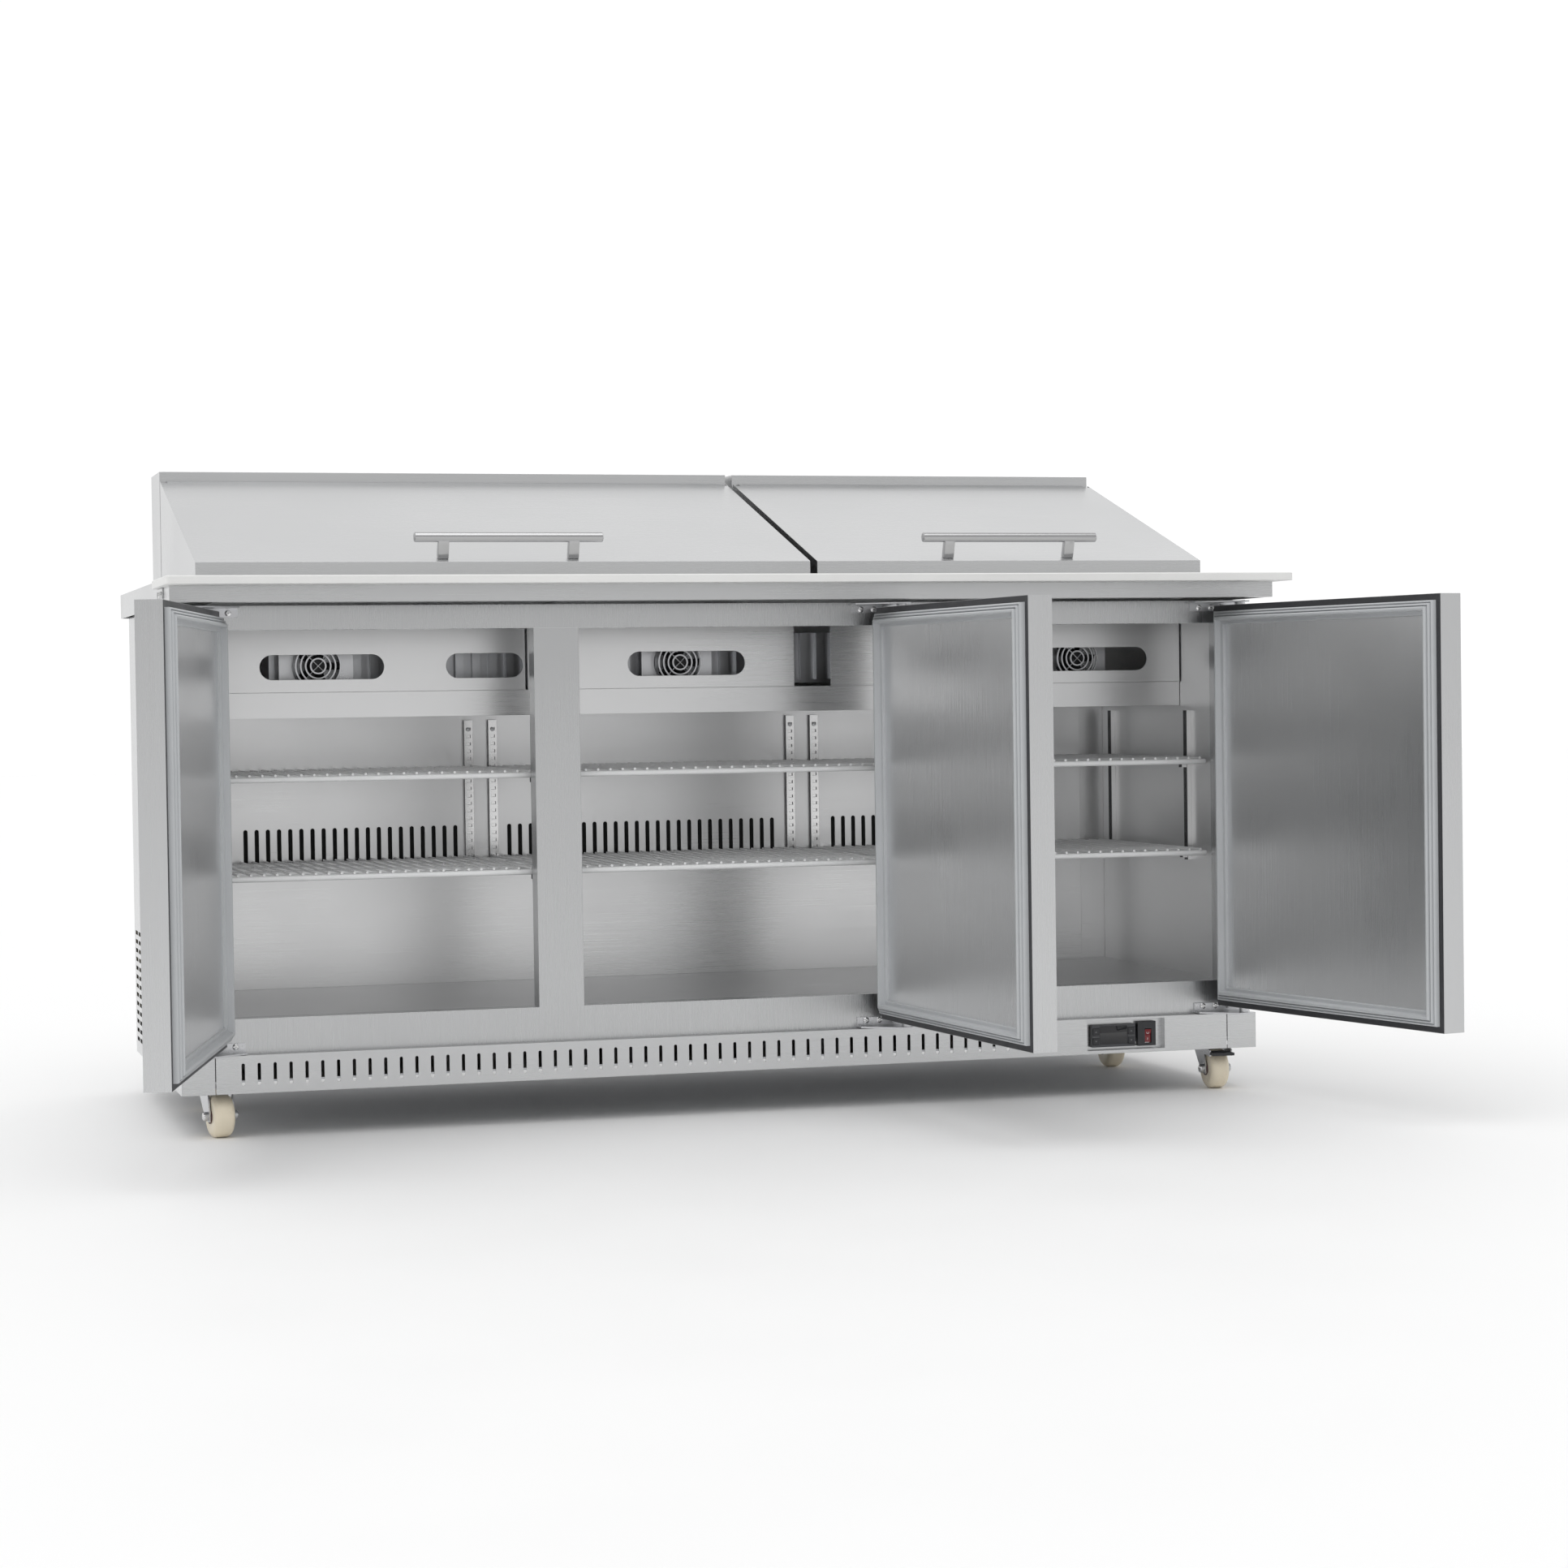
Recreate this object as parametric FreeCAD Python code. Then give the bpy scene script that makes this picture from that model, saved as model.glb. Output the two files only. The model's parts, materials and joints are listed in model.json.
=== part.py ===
import FreeCAD, Part
import math
import os

os.makedirs("parts", exist_ok=True)

# Refrigerated sandwich prep table with three doors, two sloping lids and a full-length cutting board.
# Millimetres. While it is built, X = 0 is the middle of the cabinet, Y = 0 the front of the base,
# +Y runs to the back and Z = 0 is the floor. At the end everything moves so that the origin is the
# middle of the whole part's footprint, with the doors open as they stand at rest.

# ---------------------------------------------------------------- driving dimensions
cabinet_width = 1764.0
cabinet_back = 715.0            # rear face of the side panels
sheet = 1.2                     # stainless sheet
wheel_radius = 33.0
base_height = 58.0              # front base panel, bottom edge to top edge
base_drop = 17.0                # base panel below the caster plates
face_setback = 24.0             # face frame behind the base panel
lower_rail_height = 53.5
opening_height = 592.5
upper_rail_height = 40.0
post_width = 50.0
mullion_depth = 36.0
mullion_width = 72.0
hinge_mullion_width = 78.0
side_insulation = 40.0          # cabinet side to side liner
back_bay_depth = 149.0          # rear liner to the side panels' rear edge
back_insulation = 24.0

door_cover_height = 67.5        # door taller than the opening it closes
door_thickness = 38.0
door_gap_below = 14.0           # above the base panel
gasket_thickness = 15.7
gasket_margin = 10.0
gasket_width = 22.0
pin_inset = 29.0                # hinge pin from the door's hinge edge
pin_depth = 6.5                 # hinge pin from the door's outer face
pin_radius = 3.0
running_clearance = 0.05
door_end_inset = 2.0            # outer doors inside the cabinet's ends
meeting_gap = 10.0              # between the left and the middle door, closed
hinge_gap = 4.0                 # between the middle and the right door, closed
left_open_angle = 104.0
middle_open_angle = 94.0
right_open_angle = 101.5

counter_overhang = 11.0         # past each side panel
counter_front = -59.5
counter_rear_overhang = 25.0
front_shelf_height = 25.0       # fascia
board_overhang = 10.5           # past each end of the counter
board_front = -119.0
board_back = 98.0
board_thickness = 13.0
deck_depth = 40.0               # side skirts of the deck
pan_opening_margin = 72.0       # from the cabinet's sides
pan_opening_front = 115.0
pan_opening_rear_margin = 115.0
pan_cells = 5

lid_margin = 46.0               # from the cabinet's sides
lid_front = 102.0
lid_rear_margin = 107.0
lid_split_share = 0.1818        # inner end of the long lid, as a share of the half width
lid_gap = 12.0
lid_lip = 28.0
lid_slope = 17.34
lid_thickness = 20.0
lid_seat_gap = 1.0
lid_pin_radius = 3.0
lid_pin_inset = 4.0             # from the lid's rear edge
lid_pin_drop = 8.0              # below the lid's top surface
handle_length = 305.0
handle_radius = 8.0
handle_spacing = 210.0
handle_standoff = 34.0
handle_up_slope = 22.0

hood_depth = 137.3
hood_overhang = 37.0            # behind the side panels
hood_height = 203.5

shelf_front = 76.0
shelf_rear_gap = 32.0
upper_shelf_share = 0.6262      # of the opening's height, above the inner floor
lower_shelf_share = 0.3679
shelf_wire_pitch = 20.0
shelf_bar_radius = 4.5
shelf_wire_radius = 2.0

caster_side_margin = 57.0
caster_front_y = 62.0
caster_rear_margin = 285.0
caster_rear_inset = 38.0
caster_trail = 25.0
caster_headroom = 20.0          # swivel and plate above the wheel
wheel_width = 32.0
tread_rounding = 9.0
front_left_turn = 10.0
front_right_turn = -3.0
braked_caster = "front_right"

# ---------------------------------------------------------------- derived levels
caster_top = 2 * wheel_radius + caster_headroom
base_bottom = caster_top - base_drop
base_top = base_bottom + base_height
half_width = cabinet_width / 2
inner_half_width = half_width - side_insulation
inner_back = cabinet_back - back_bay_depth
door_height = opening_height + door_cover_height
door_width = (cabinet_width - 2 * door_end_inset - meeting_gap - hinge_gap) / 3
middle_door_edge = half_width - door_end_inset - door_width - hinge_gap
left_mullion_x = -half_width + door_end_inset + door_width + meeting_gap
right_mullion_x = middle_door_edge - 9.0
counter_half_width = half_width + counter_overhang
counter_back = cabinet_back + counter_rear_overhang
board_half_width = counter_half_width + board_overhang
pan_opening_half_width = half_width - pan_opening_margin
pan_opening_back = cabinet_back - pan_opening_rear_margin
lid_half_width = half_width - lid_margin
lid_rear = cabinet_back - lid_rear_margin
lid_split = lid_split_share * lid_half_width
hood_back = cabinet_back + hood_overhang
hood_front = hood_back - hood_depth
shelf_back = inner_back - shelf_rear_gap
upper_shelf_height = upper_shelf_share * opening_height
lower_shelf_height = lower_shelf_share * opening_height
caster_x = half_width - caster_side_margin
caster_rear_y = cabinet_back - caster_rear_margin
face_y = face_setback
floor_z = base_top + lower_rail_height
opening_top = floor_z + opening_height
frame_top = opening_top + upper_rail_height
counter_bottom = frame_top
shelf_top = counter_bottom + front_shelf_height
board_top = shelf_top + board_thickness
deck_top = counter_bottom - 2.0 + deck_depth
pin_y = face_y - gasket_thickness - 0.3 - door_thickness + pin_depth
door_bottom = base_top + door_gap_below
door_top = door_bottom + door_height
bay_front = inner_back + sheet + back_insulation
left_door_edge = -half_width + door_end_inset
right_door_edge = half_width - door_end_inset

nodes = {}


# ---------------------------------------------------------------- shape helpers
def box(x0, x1, y0, y1, z0, z1):
    return Part.makeBox(x1 - x0, y1 - y0, z1 - z0, FreeCAD.Vector(x0, y0, z0))


def rod(start, end, radius):
    direction = FreeCAD.Vector(*end) - FreeCAD.Vector(*start)
    return Part.makeCylinder(radius, direction.Length, FreeCAD.Vector(*start), direction)


def extrude_x(points, x0, x1):
    """A closed Y-Z outline, extruded along X."""
    corners = [FreeCAD.Vector(x0, y, z) for y, z in points]
    face = Part.Face(Part.makePolygon(corners + corners[:1]))
    return face.extrude(FreeCAD.Vector(x1 - x0, 0, 0))


def extrude_z(points, z0, z1):
    """A closed X-Y outline, extruded along Z."""
    corners = [FreeCAD.Vector(x, y, z0) for x, y in points]
    face = Part.Face(Part.makePolygon(corners + corners[:1]))
    return face.extrude(FreeCAD.Vector(0, 0, z1 - z0))


def slot_y(x0, x1, z0, z1, y0, y1):
    """A stadium hole's tool, running along Y, with round ends on its short sides."""
    radius = min(x1 - x0, z1 - z0) / 2
    if x1 - x0 > z1 - z0:
        middle_z = (z0 + z1) / 2
        middle = box(x0 + radius, x1 - radius, y0, y1, z0, z1)
        ends = [(x0 + radius, middle_z), (x1 - radius, middle_z)]
    else:
        middle_x = (x0 + x1) / 2
        middle = box(x0, x1, y0, y1, z0 + radius, z1 - radius)
        ends = [(middle_x, z0 + radius), (middle_x, z1 - radius)]
    return middle.multiFuse([rod((x, y0, z), (x, y1, z), radius) for x, z in ends])


def ring(centre, axis, outer, inner, length):
    base = FreeCAD.Vector(*centre)
    direction = FreeCAD.Vector(*axis)
    body = Part.makeCylinder(outer, length, base, direction)
    return body.cut(Part.makeCylinder(inner, length, base, direction))


def mirrored(shape):
    return shape.mirror(FreeCAD.Vector(0, 0, 0), FreeCAD.Vector(1, 0, 0))


def turned(shape, centre, axis, angle):
    copy = shape.copy()
    copy.rotate(FreeCAD.Vector(*centre), FreeCAD.Vector(*axis), angle)
    return copy


def add(name, *shapes):
    for shape in shapes:
        nodes.setdefault(name, []).extend(shape.Solids)


# ---------------------------------------------------------------- base
grille_slot_pitch = 24.2
grille_slot_width = 5.0
grille_slot_start = -half_width + 93.0
grille_slot_margin = 12.0
recess_left = half_width - 299.0
recess_right = recess_left + 136.0
grille_end_gap = 100.0          # between the grille and the recess
grille_slot_count = int((recess_left - grille_end_gap - grille_slot_start) / grille_slot_pitch) + 1
recess_bottom = base_bottom + 5.5
recess_top = base_top - 3.0
recess_depth = 14.0
control_notch_margin = 12.0
control_notch_depth = 66.0      # room behind the controls, cut out of the pan
caster_bolt_spacing = 40.0
caster_bolt_radius = 4.0
caster_plate_half = 30.0
caster_spots = {
    "front_left": (-caster_x, caster_front_y, front_left_turn),
    "front_right": (caster_x, caster_front_y, front_right_turn),
    "rear_left": (caster_rear_inset - caster_x, caster_rear_y, 0.0),
    "rear_right": (caster_x - caster_rear_inset, caster_rear_y, 0.0),
}
pan_sheet = 3.0


def caster_bolt_points(x, y):
    half = caster_bolt_spacing / 2
    return [(x + sx * half, y + sy * half) for sx in (-1, 1) for sy in (-1, 1)]


def make_base():
    inset = sheet
    pan = box(-half_width + inset, half_width - inset, inset, cabinet_back - inset,
              caster_top, caster_top + pan_sheet)
    holes = []
    for x, y, _ in caster_spots.values():
        holes += [rod((bx, by, caster_top - 1), (bx, by, caster_top + pan_sheet + 1), caster_bolt_radius)
                  for bx, by in caster_bolt_points(x, y)]
    control_notch = box(recess_left - control_notch_margin, recess_right + control_notch_margin, 0,
                        control_notch_depth, caster_top - 1, caster_top + pan_sheet + 1)
    add("base_pan", pan.cut(holes).cut(control_notch))

    post_inner = half_width - post_width - 2.0
    front = box(-post_inner, post_inner, 0, sheet, base_bottom, base_top)
    slots = []
    for i in range(grille_slot_count):
        x = grille_slot_start + i * grille_slot_pitch
        slots.append(slot_y(x - grille_slot_width / 2, x + grille_slot_width / 2,
                            base_bottom + grille_slot_margin, base_top - grille_slot_margin,
                            -1, sheet + 1))
    recess = box(recess_left, recess_right, -1, sheet + 1, recess_bottom, recess_top)
    front = front.cut(slots + [recess])
    ledge = box(-post_inner, post_inner, sheet, face_y, base_top - sheet, base_top)
    add("base_panels", front.fuse(ledge))
    seam = 1.4
    corner_front = box(post_inner + seam, half_width - sheet, 0, sheet, base_bottom, base_top)
    corner_ledge = box(post_inner + seam, half_width - sheet, sheet, face_y, base_top - sheet, base_top)
    corner = corner_front.fuse(corner_ledge)
    add("base_panels", corner, mirrored(corner))


# ---------------------------------------------------------------- controls in the base
bezel_left = recess_left + 9.0
bezel_right = bezel_left + 77.0
bezel_bottom = base_bottom + 10.5
bezel_height = 36.5
button_size = (11.0, 11.5)
button_travel = 1.0             # free depth behind each button
button_proud = 1.2
window_width = 49.0
switch_left = bezel_right + 4.5
switch_right = switch_left + 31.5
switch_bottom = base_bottom + 10.0
switch_height = 40.0
rocker_size = (11.0, 21.5)
rocker_centre_x = switch_left + 18.0
control_clearance = 0.35
button_rows = (0.27, 0.69)      # share of the bezel's height
bezel_face = 4.0                # bezel front behind the base panel
bezel_depth = 6.0
button_layout = {}
for _side, _x in (("left", bezel_left + 7.5), ("right", bezel_right - 7.5)):
    for _row, _share in zip(("lower", "upper"), button_rows):
        button_layout["button_%s_%s" % (_side, _row)] = (_x, bezel_bottom + _share * bezel_height)
rocker_axis_y = bezel_face + 6.0
rocker_axis_z = switch_bottom + 16.0


def make_controls():
    lip = 8.0
    outer = box(recess_left - sheet, recess_right + sheet, sheet, recess_depth + sheet,
                recess_bottom - sheet, recess_top + sheet)
    inner = box(recess_left, recess_right, 0, recess_depth, recess_bottom, recess_top)
    window = box(bezel_left + 3, switch_right - 3, recess_depth - 1, recess_depth + 3,
                 bezel_bottom + 3, switch_bottom + switch_height - 4)
    flange = box(recess_left - lip, recess_right + lip, sheet, 2 * sheet,
                 recess_bottom - 2 * sheet, recess_top + sheet)
    add("base_panels", outer.fuse(flange).cut(inner).cut(window))

    bezel_back = bezel_face + bezel_depth
    bezel = box(bezel_left, bezel_right, bezel_face, bezel_back, bezel_bottom, bezel_bottom + bezel_height)
    bezel = bezel.makeFillet(1.5, [e for e in bezel.Edges if abs(e.BoundBox.YLength - bezel_depth) < 0.01])
    flange_support = box(bezel_left + 3, bezel_right - 3, bezel_back, recess_depth,
                         bezel_bottom + 3.5, bezel_bottom + bezel_height - 3.5)
    tail = box(bezel_left + 4, bezel_right - 4, recess_depth, recess_depth + 45,
               bezel_bottom + 4, bezel_bottom + bezel_height - 4)
    pockets = []
    for x, z in button_layout.values():
        w = button_size[0] / 2 + control_clearance
        h = button_size[1] / 2 + control_clearance
        pockets.append(box(x - w, x + w, bezel_face - 1, bezel_back - 1.5, z - h, z + h))
    middle = (bezel_left + bezel_right) / 2
    glass_pocket = box(middle - window_width / 2, middle + window_width / 2, bezel_face - 1,
                       bezel_face + 1.5, bezel_bottom + 4, bezel_bottom + bezel_height - 2)
    add("controller_case", bezel.fuse(flange_support).fuse(tail).cut(pockets).cut(glass_pocket))
    glass = box(middle - window_width / 2, middle + window_width / 2, bezel_face + 0.3,
                bezel_face + 1.5, bezel_bottom + 4, bezel_bottom + bezel_height - 2)
    add("controller_case", glass)
    for name, (x, z) in button_layout.items():
        w = button_size[0] / 2
        h = button_size[1] / 2
        cap = box(x - w, x + w, bezel_face - button_proud, bezel_face + 2.5, z - h, z + h)
        add(name, cap.makeFillet(0.8, [e for e in cap.Edges if abs(e.BoundBox.YMin - e.BoundBox.YMax) < 0.01
                                       and e.BoundBox.YMax < bezel_face]))

    housing = box(switch_left, switch_right, bezel_face, recess_depth, switch_bottom,
                  switch_bottom + switch_height)
    body = box(switch_left + 5, switch_right - 5, recess_depth, recess_depth + 22,
               switch_bottom + 5, switch_bottom + switch_height - 5)
    half_w = rocker_size[0] / 2 + control_clearance
    half_h = rocker_size[1] / 2 + 1.2
    well = box(rocker_centre_x - half_w, rocker_centre_x + half_w, bezel_face - 1, recess_depth + 8,
               rocker_axis_z - half_h, rocker_axis_z + half_h)
    add("switch_housing", housing.fuse(body).cut(well))

    front_low = bezel_face - 0.5
    front_high = bezel_face + 2.6
    z0 = rocker_axis_z - rocker_size[1] / 2
    z1 = rocker_axis_z + rocker_size[1] / 2
    outline = [(front_high, z0), (rocker_axis_y - 3.2, rocker_axis_z), (front_low, z1),
               (rocker_axis_y + 2.5, z1), (rocker_axis_y + 4.5, rocker_axis_z), (rocker_axis_y + 2.5, z0)]
    add("rocker", extrude_x(outline, rocker_centre_x - rocker_size[0] / 2,
                            rocker_centre_x + rocker_size[0] / 2))


# ---------------------------------------------------------------- cabinet shell
vent_rows = 13
vent_pitch = 15.1
vent_bottom = caster_top + 4.0
vent_columns = (cabinet_back - 86.0, cabinet_back - 36.0)
vent_length = 40.0
vent_height = 7.0
rear_grille_top = caster_top + 340.0
louvre_rows = 9
louvre_bottom = caster_top + 40.0
louvre_pitch_x = 120.0
louvre_pitch_z = 30.0
louvre_length = 90.0
louvre_height = 9.0


def make_shell():
    outline = [(0, base_bottom), (cabinet_back, base_bottom), (cabinet_back, counter_bottom - 2),
               (face_y, counter_bottom - 2), (face_y, base_top), (0, base_top)]
    side = extrude_x(outline, half_width - sheet, half_width)
    vents = []
    for y in vent_columns:
        for row in range(vent_rows):
            z = vent_bottom + row * vent_pitch
            vents.append(box(half_width - sheet - 1, half_width + 1, y - vent_length / 2,
                             y + vent_length / 2, z, z + vent_height))
    side = side.cut(vents)
    add("side_panels", mirrored(side), side)

    inner = half_width - sheet
    back = box(-inner, inner, cabinet_back - sheet, cabinet_back, rear_grille_top, counter_bottom - 2)
    inlet = rod((inlet_x, cabinet_back - 5, inlet_z), (inlet_x, cabinet_back + 5, inlet_z),
                inlet_thread_radius)
    grille = box(-inner, inner, cabinet_back - sheet, cabinet_back, base_bottom, rear_grille_top - 0.6)
    louvres = []
    half_columns = int((inner - louvre_length) / louvre_pitch_x)
    for column in range(-half_columns, half_columns + 1):
        for row in range(louvre_rows):
            x = column * louvre_pitch_x
            z = louvre_bottom + row * louvre_pitch_z
            louvres.append(slot_y(x - louvre_length / 2, x + louvre_length / 2, z, z + louvre_height,
                                  cabinet_back - 5, cabinet_back + 5))
    add("rear_panels", back.cut(inlet), grille.cut(louvres))


# ---------------------------------------------------------------- liner, foam and face frame
def make_liner():
    w = inner_half_width
    top = counter_bottom - 4
    add("liner_panels",
        box(-w, w, face_y + mullion_depth, inner_back, floor_z - sheet, floor_z),
        box(-w, w, inner_back, inner_back + sheet, floor_z - sheet, top),
        box(-w - sheet, -w, face_y + mullion_depth, inner_back, floor_z - sheet, top),
        box(w, w + sheet, face_y + mullion_depth, inner_back, floor_z - sheet, top))
    outer = half_width - sheet
    skin = w + sheet
    rail_back = face_y + mullion_depth
    add("foam_core",
        box(-outer, outer, rail_back, bay_front, base_top, floor_z - sheet),
        box(-skin, skin, inner_back + sheet, bay_front, floor_z - sheet, top),
        box(-outer, -skin, rail_back, bay_front, floor_z - sheet, top),
        box(skin, outer, rail_back, bay_front, floor_z - sheet, top))


def channel_rail(z0, z1, x0, x1):
    """A folded rail: a front face with a return above and below."""
    back = face_y + mullion_depth
    outline = [(face_y, z0), (back, z0), (back, z0 + sheet), (face_y + sheet, z0 + sheet),
               (face_y + sheet, z1 - sheet), (back, z1 - sheet), (back, z1), (face_y, z1)]
    return extrude_x(outline, x0, x1)


def box_tube(x0, x1, y0, y1, z0, z1):
    return box(x0, x1, y0, y1, z0, z1).cut(
        box(x0 + sheet, x1 - sheet, y0 + sheet, y1 - sheet, z0, z1))


def make_face_frame():
    opening_end = half_width - post_width
    back = face_y + mullion_depth
    lower = channel_rail(base_top, floor_z, -opening_end, opening_end)
    upper = channel_rail(opening_top, frame_top - 3, -opening_end, opening_end)
    outline = [(opening_end, face_y), (half_width - sheet, face_y), (half_width - sheet, face_y + sheet),
               (opening_end + sheet, face_y + sheet), (opening_end + sheet, back), (opening_end, back)]
    post = extrude_z(outline, base_top, frame_top - 3)
    posts = [mirrored(post), post]
    left = box_tube(left_mullion_x - mullion_width / 2, left_mullion_x + mullion_width / 2,
                    face_y, back, floor_z, opening_top)
    right = box_tube(right_mullion_x - hinge_mullion_width / 2, right_mullion_x + hinge_mullion_width / 2,
                     face_y, back, floor_z, opening_top)
    add("face_frame", lower, upper, *posts, left, right)


# ---------------------------------------------------------------- inside fittings
return_panel_half_width = inner_half_width - 52.0
return_panel_front = inner_back - 18.0
return_panel_top = opening_top - 136.0
return_slot_bottom = floor_z + 210.0
return_slot_height = 59.0
return_slot_pitch = 18.8
return_slot_width = 7.0
return_slot_spans = ((-return_panel_half_width + 79.0, left_mullion_x - 65.0),
                     (left_mullion_x + 28.0, right_mullion_x - 75.0),
                     (right_mullion_x + 37.0, return_panel_half_width - 73.0))
pilaster_width = 15.0
pilaster_depth = 8.0
pilaster_bottom = floor_z + lower_shelf_height - 24.0
pilaster_top = return_panel_top - 8.5
rear_pilasters_x = (left_mullion_x - 42.0, left_mullion_x, right_mullion_x - 42.0, right_mullion_x + 2.0)
side_pilaster_y = (170.0, inner_back - 54.0)
front_pilasters_x = (left_mullion_x - 27.0, left_mullion_x + 26.0, right_mullion_x - 23.0,
                     right_mullion_x + 27.0)
clip_size = (13.0, 9.0, 7.0)
cover_front = 205.0
cover_bottom = opening_top - 95.0
cover_slot_bottom = cover_bottom + 20.0
cover_slot_height = 39.5
tray_bottom = return_panel_top
cover_end = inner_half_width - 2.0
cover_spans = {"left": (-cover_end, left_mullion_x - 12.0), "middle": (left_mullion_x - 8.0,
               right_mullion_x - 132.0), "right": (right_mullion_x - 69.0, cover_end)}
fan_slot_length = 198.0
coil_slot_length = 125.5
fan_x = (-cover_end + 212.0, left_mullion_x + 257.5, cover_end - 170.0)
cover_slots = {"left": ((fan_x[0] - fan_slot_length / 2, fan_x[0] + fan_slot_length / 2),
                        (cover_spans["left"][1] - 3.5 - coil_slot_length, cover_spans["left"][1] - 3.5)),
               "middle": ((fan_x[1] - fan_slot_length / 2, fan_x[1] + fan_slot_length / 2),),
               "right": ((fan_x[2] - fan_slot_length / 2 - 11, fan_x[2] + fan_slot_length / 2 + 11),)}
fan_z = cover_bottom + 42.0
fan_radius = 36.0
fan_hub_radius = 13.0
guard_wire = 1.3
guard_rings = (12.0, 20.0, 28.0, 36.0)
evaporator_front = 300.0
evaporator_back = 380.0
evaporator_half_width = half_width - 182.0
evaporator_height = 84.0


def make_inside():
    y0 = return_panel_front
    panel = box(-return_panel_half_width, return_panel_half_width, y0, y0 + sheet, floor_z, return_panel_top)
    slots = []
    for start, end in return_slot_spans:
        for i in range(int((end - start) / return_slot_pitch + 1.01)):
            x = start + i * return_slot_pitch
            slots.append(slot_y(x - return_slot_width / 2, x + return_slot_width / 2, return_slot_bottom,
                                return_slot_bottom + return_slot_height, y0 - 1, y0 + sheet + 1))
    panel = panel.cut(slots)
    for x in (-return_panel_half_width, return_panel_half_width - sheet):
        panel = panel.fuse(box(x, x + sheet, y0 + sheet, inner_back, floor_z, return_panel_top))
    add("return_air_panel", panel)

    for name, (x0, x1) in cover_spans.items():
        face = box(x0, x1, cover_front, cover_front + sheet, cover_bottom, frame_top - 5)
        face = face.cut([slot_y(a, b, cover_slot_bottom, cover_slot_bottom + cover_slot_height,
                                cover_front - 1, cover_front + sheet + 1)
                         for a, b in cover_slots[name]])
        add("evaporator_covers", face)
    w = inner_half_width - 0.5
    tray_outline = [(cover_front + 4, tray_bottom), (cover_front + 4 + sheet, tray_bottom),
                    (cover_front + 4 + sheet, cover_bottom - sheet), (inner_back, cover_bottom - sheet),
                    (inner_back, cover_bottom), (cover_front + 4, cover_bottom)]
    add("evaporator_covers", extrude_x(tray_outline, -w, w))
    closing = box(-w, w, cover_front + 4 + sheet, return_panel_front + sheet, tray_bottom,
                  tray_bottom + sheet)
    add("evaporator_covers", closing)


def make_evaporator():
    z0 = cover_bottom + 6
    block = box(-evaporator_half_width, evaporator_half_width, evaporator_front, evaporator_back, z0,
                z0 + evaporator_height)
    pitch = 28.0
    count = int(2 * (evaporator_half_width - 10) / pitch)
    grooves = [box(-evaporator_half_width + 10 + i * pitch, -evaporator_half_width + 24 + i * pitch,
                   evaporator_front - 1, evaporator_front + 12, z0 + 6, z0 + evaporator_height + 1)
               for i in range(count)]
    add("evaporator_coil", block.cut(grooves))
    bend_z = [z0 + 20, z0 + 44, z0 + 68]
    for z in bend_z:
        bend = Part.makeTorus(14, 4, FreeCAD.Vector(evaporator_half_width, (evaporator_front
                              + evaporator_back) / 2, z), FreeCAD.Vector(0, 0, 1), -180, 180, 360)
        bend = bend.common(box(evaporator_half_width, evaporator_half_width + 40, 0, 700, z - 10, z + 10))
        add("evaporator_coil", bend)

    for x in fan_x:
        plate_y = evaporator_front - 30
        housing = box(x - 60, x + 60, plate_y, plate_y + 2, cover_bottom, cover_bottom + 86)
        housing = housing.cut(rod((x, plate_y - 1, fan_z), (x, plate_y + 3, fan_z), fan_radius + 3))
        rings = [ring((x, plate_y - 22 - guard_wire, fan_z), (0, 1, 0), r + guard_wire, r - guard_wire,
                      2 * guard_wire) for r in guard_rings]
        spokes = []
        for k in range(4):
            a = math.radians(45 + 90 * k)
            tip = (x + 38 * math.cos(a), plate_y - 22, fan_z + 38 * math.sin(a))
            spokes.append(rod((x, plate_y - 22, fan_z), tip, guard_wire * 0.8))
            spokes.append(rod(tip, (tip[0], plate_y + 1, tip[2]), guard_wire * 0.8))
        guard = housing.multiFuse(rings + spokes)
        add("fan_guards", guard)
        motor = rod((x, plate_y + 6, fan_z), (x, plate_y + 24, fan_z), 17)
        foot = box(x - 6, x + 6, plate_y + 8, plate_y + 22, cover_bottom, fan_z - 15)
        shaft = rod((x, plate_y - 14, fan_z), (x, plate_y + 6, fan_z), 2.0)
        add("fan_motors", motor.multiFuse([foot, shaft]))


def fan_blades(centre, direction, blade_radius, hub_radius, hub_length, bore, count, pitch_angle):
    """An axial fan along +Y at the origin, then turned to its direction and moved to its centre."""
    hub = rod((0, 0, 0), (0, hub_length, 0), hub_radius)
    blades = []
    for i in range(count):
        chord = 1.05 * hub_radius
        blade = box(hub_radius - 2.5, blade_radius, hub_length / 2 - 0.6, hub_length / 2 + 0.6, -chord / 2,
                    chord / 2)
        blade = turned(blade, (0, hub_length / 2, 0), (1, 0, 0), pitch_angle)
        blades.append(turned(blade, (0, 0, 0), (0, 1, 0), 360.0 / count * i))
    fan = hub.multiFuse(blades).cut(rod((0, -1, 0), (0, hub_length + 1, 0), bore))
    if direction == "x":
        fan = turned(fan, (0, 0, 0), (0, 0, 1), -90)
    fan.translate(FreeCAD.Vector(*centre))
    return fan


def make_fans():
    for side, x in zip(("left", "middle", "right"), fan_x):
        fan = fan_blades((x, evaporator_front - 43, fan_z), "y", fan_radius, fan_hub_radius, 10.0,
                         2.0 + running_clearance, 5, 35)
        add("evaporator_fan_" + side, fan)


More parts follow.
